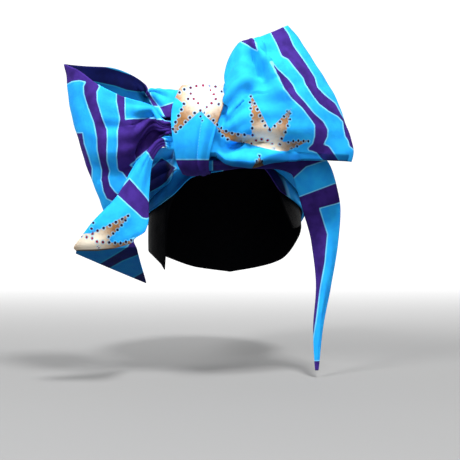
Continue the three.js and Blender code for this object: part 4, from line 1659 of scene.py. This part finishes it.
@dataclass
class Crown:
    """The cloth over the head, with folds that fan back from the knot."""

    turns: tuple[float, ...] = (-180, -150, -120, -90, -62, -48, -31, -8, 12, 27, 42, 60, 90, 120, 150, 180)
    hem: tuple[float, ...] = (
        -0.25, -0.15, 0.02, 0.17, 0.26, 0.35, 0.5, 0.54, 0.57, 0.58, 0.39, 0.31, 0.21, 0.04, -0.15, -0.25,
    )
    # Painted shade on a band above the front hem, under the bow: this high, fading over the blend.
    hem_shade_height: float = 22.0
    hem_shade_blend: float = 5.0
    band_turn: float = 74.0
    band_shift: float = 8.0
    band_scale: float = 6.0
    band_gap: float = 2.4
    band_spread: float = 0.02
    around: int = 300
    upwards: int = 70

    def build(self, material: bpy.types.Material, left: SideWrap, right: SideWrap) -> bpy.types.Object:
        """Makes the crown.

        Args:
            material: the printed cotton.
            left: the left side wrap, which the folds stay clear of.
            right: the right side wrap.

        Returns:
            The crown's object.
        """
        azimuth = np.linspace(-180, 180, self.around, endpoint=False)
        low = np.arcsin(curve_through(self.turns, self.hem, azimuth))
        away = np.abs(azimuth)
        tops = np.where(
            azimuth < 0,
            curve_through(left.turns, left.highs, away),
            curve_through(right.turns, right.highs, away),
        )
        share = np.arange(self.upwards + 1) / (self.upwards + 1)
        rise = np.sin(low[:, None] + (math.pi / 2 - low[:, None]) * share)
        height = rise * (HEAD_RISE + CROWN_CLEARANCE)
        base = head_point(azimuth[:, None], height, CROWN_CLEARANCE)
        fan = np.degrees(np.arctan2(base[..., 0] - KNOT_X, base[..., 1] + HEAD_HALF_LENGTH))
        fold = 0.5 + 0.5 * np.cos(2 * math.pi * fan / CROWN_FOLD_TURN)
        fold = fold**1.6 + 0.12 * np.cos(2 * math.pi * fan / 7.3 + 1.1)
        top = tops[:, None] * HEAD_RISE
        clear = smooth_step((height - top) / 20, 0.4, 1.4)
        out = base / np.linalg.norm(base, axis=-1, keepdims=True)
        grid = base + out * (CROWN_FOLD * fold * clear)[..., None]
        wave = np.sin(2 * math.pi * (fan + self.band_shift) / self.band_turn)
        purple = self.band_scale * wave - self.band_gap + self.band_spread * height
        fields = Print().attributes(grid, np.zeros(height.shape, int))
        fields["purple_edge"] = purple
        apex = np.array([0, 0, HEAD_RISE + CROWN_CLEARANCE + CROWN_FOLD / 2])
        # Painted shade on a band above the front hem, under the bow, from azimuth -82 to 52.
        painted_hem_shade = 1 - smooth_step(height - height[:, :1], self.hem_shade_height, self.hem_shade_height + self.hem_shade_blend)
        turned = painted_hem_shade * (smooth_step(azimuth, -82, -74) - smooth_step(azimuth, 44, 52))[:, None]
        sheet = Sheet("crown_cloth", grid, COTTON, closed=True, apex=apex, fields=fields, turned=turned)
        return dress(sheet, material, "crown")


@dataclass
class SatinBand:
    """The satin band that lines the wrap and shows at the temples."""

    turns: tuple[float, ...] = (
        -180, -150, -120, -90, -70, -57, -53.5, -52, -50.5, -45, -31, 0, 27, 41, 47, 59, 78, 100, 130,
        155, 180,
    )
    hem: tuple[float, ...] = (
        -0.33, -0.28, -0.16, -0.09, -0.12, -0.2, -0.25, 0, 0.24, 0.4, 0.56, 0.6, 0.62, 0.42, 0.25, 0.1,
        0.13, 0.02, -0.2, -0.28, -0.33,
    )
    top: float = 0.68
    around: int = 260
    upwards: int = 30

    def build(self, material: bpy.types.Material) -> bpy.types.Object:
        """Makes the band.

        Args:
            material: the black satin.

        Returns:
            The finished object.
        """
        azimuth = np.linspace(-180, 180, self.around, endpoint=False)
        low = curve_through(self.turns, self.hem, azimuth)[:, None]
        share = np.linspace(0, 1, self.upwards + 1)
        height = (low + (self.top - low) * share) * HEAD_RISE
        grid = head_point(azimuth[:, None], height, SATIN / 2)
        sheet = Sheet("satin_cloth", grid, SATIN, closed=True)
        return dress(sheet, material, "satin_band")


@dataclass(frozen=True)
class Lamp:
    """A square soft light; places in metres, power in watts."""

    name: str
    place: tuple[float, float, float]
    size: float
    power: float

    def hang(self, aim: tuple[float, float, float]) -> None:
        """Hangs the light so that it faces the wrap.

        Args:
            aim: the point that it faces.
        """
        light = bpy.data.lights.new(self.name, "AREA")
        light.shape = "SQUARE"
        light.size = self.size
        light.energy = self.power
        holder = bpy.data.objects.new(self.name, light)
        holder.location = self.place
        way = np.array(aim) - np.array(self.place)
        flat = math.hypot(way[0], way[1])
        holder.rotation_euler = (math.pi / 2 + math.atan2(way[2], flat), 0, math.atan2(-way[0], way[1]))
        bpy.context.scene.collection.objects.link(holder)


@dataclass
class Studio:
    """The camera of the photograph's view, a pale floor and soft light."""

    floor_z: float = -132.0
    white: Colour = (0.2, 0.2, 0.2, 1.0)
    glow: float = 1.0
    floor_glow: float = 0.1
    near: float = -3.0
    far: float = 2.4
    bend: float = 0.9
    tall: float = 4.0
    half: float = 4.5
    bright_from: float = -0.2
    bright_to: float = 1.6
    sky: float = 0.06
    aim: tuple[float, float, float] = (0.0, -0.05, 0.08)
    lamps: tuple[Lamp, ...] = (
        Lamp("key_right", (0.3, -0.74, 1.34), 0.26, 30.0),
        Lamp("key_left", (-0.75, -0.95, 0.95), 0.4, 19.0),
        Lamp("fill", (0.1, -1.5, 0.45), 0.6, 4.0),
    )

    def build(self) -> None:
        """Makes the stage."""
        camera = bpy.data.cameras.new("camera")
        camera.sensor_width = SENSOR_MM
        camera.lens = FOCAL_PIXELS / PHOTO_PIXELS * SENSOR_MM
        camera.clip_start = 0.01
        holder = bpy.data.objects.new("camera", camera)
        holder.location = (0, -CAMERA_BACK * MM, CAMERA_HEIGHT * MM)
        holder.rotation_euler = (math.pi / 2, 0, 0)
        bpy.context.scene.collection.objects.link(holder)
        bpy.context.scene.camera = holder
        self._floor()
        for lamp in self.lamps:
            lamp.hang(self.aim)
        world = bpy.data.worlds.new("world")
        world.use_nodes = True
        sky = world.node_tree.nodes["Background"]
        sky.inputs["Color"].default_value = (1.0, 1.0, 1.0, 1.0)
        sky.inputs["Strength"].default_value = self.sky
        bpy.context.scene.world = world
        bpy.context.scene.view_settings.view_transform = "Standard"

    def _floor(self) -> None:
        """Lays a white sweep: the floor that bends up into a wall at the back."""
        profile = [(self.near, 0.0), (self.far - self.bend, 0.0)]
        for turn in np.linspace(0, math.pi / 2, 13)[1:]:
            out = self.far - self.bend + self.bend * math.sin(turn)
            profile.append((out, self.bend - self.bend * math.cos(turn)))
        profile.append((self.far, self.tall))
        points = [(x, y, self.floor_z * MM + z) for y, z in profile for x in (-self.half, self.half)]
        faces = [(2 * i, 2 * i + 1, 2 * i + 3, 2 * i + 2) for i in range(len(profile) - 1)]
        mesh = bpy.data.meshes.new("floor")
        mesh.from_pydata(points, [], faces)
        mesh.polygons.foreach_set("use_smooth", [True] * len(faces))
        floor = bpy.data.objects.new("floor", mesh)
        material = bpy.data.materials.new("floor_white")
        material.use_nodes = True
        shader = material.node_tree.nodes["Principled BSDF"]
        shader.inputs["Base Color"].default_value = self.white
        shader.inputs["Roughness"].default_value = 0.95
        shader.inputs["Emission Color"].default_value = (1.0, 1.0, 1.0, 1.0)
        nodes = Nodes(material.node_tree)
        place = nodes.add("ShaderNodeTexCoord").outputs["Object"]
        depth = nodes.add("ShaderNodeSeparateXYZ")
        nodes.link(place, depth.inputs["Vector"])
        brighter = nodes.between(depth.outputs["Y"], self.bright_from, self.bright_to)
        added = nodes.math("MULTIPLY", brighter, self.glow - self.floor_glow)
        glow = nodes.math("ADD", added, self.floor_glow)
        nodes.link(glow, shader.inputs["Emission Strength"])
        mesh.materials.append(material)
        bpy.context.scene.collection.objects.link(floor)


def main() -> None:
    """Builds the head wrap piece by piece."""
    logging.basicConfig(level=logging.INFO, format="%(message)s")
    Studio().build()
    printed = WaxPrint().group()
    weave = weave_group()
    cotton = Cotton("wax_printed_cotton").material(printed, weave)
    satin = Satin().material(weave)
    left = SideWrap(
        "side_wrap_left_cloth",
        "side_wrap_left",
        Side.LEFT,
        turns=(50, 68, 90, 120, 145, 158, 180),
        lows=(0.47, 0.33, 0.2, 0.05, -0.12, -0.16, -0.23),
        highs=(0.78, 0.78, 0.68, 0.52, 0.4, 0.38, 0.36),
        stands=(4, 8, 6, 1, 0, 0, 0),
        sector=Sector(200, 262, 2),
        lift=CAD_COTTON + HEAD_LAYER_GAP,
        printed=Print(patches=(Patch(WRAP_BAND_LEFT),)),
    )
    right = SideWrap(
        "side_wrap_right_cloth",
        "side_wrap_right",
        Side.RIGHT,
        turns=(30, 46, 66, 90, 120, 145, 158, 180),
        lows=(0.63, 0.52, 0.38, 0.25, 0.07, -0.12, -0.16, -0.23),
        highs=(0.79, 0.77, 0.71, 0.62, 0.51, 0.4, 0.38, 0.36),
        stands=(0, 0, 0, 0, 0, 0, 0, 0),
        sector=Sector(200, 258, 2),
        lift=0.0,
        printed=Print(),
    )
    SatinBand().build(satin)
    Crown().build(cotton, left, right)
    left.build(cotton)
    right.build(cotton)
    Bow().build(cotton)
    Knot().build(cotton)


if __name__ == "__main__":
    main()
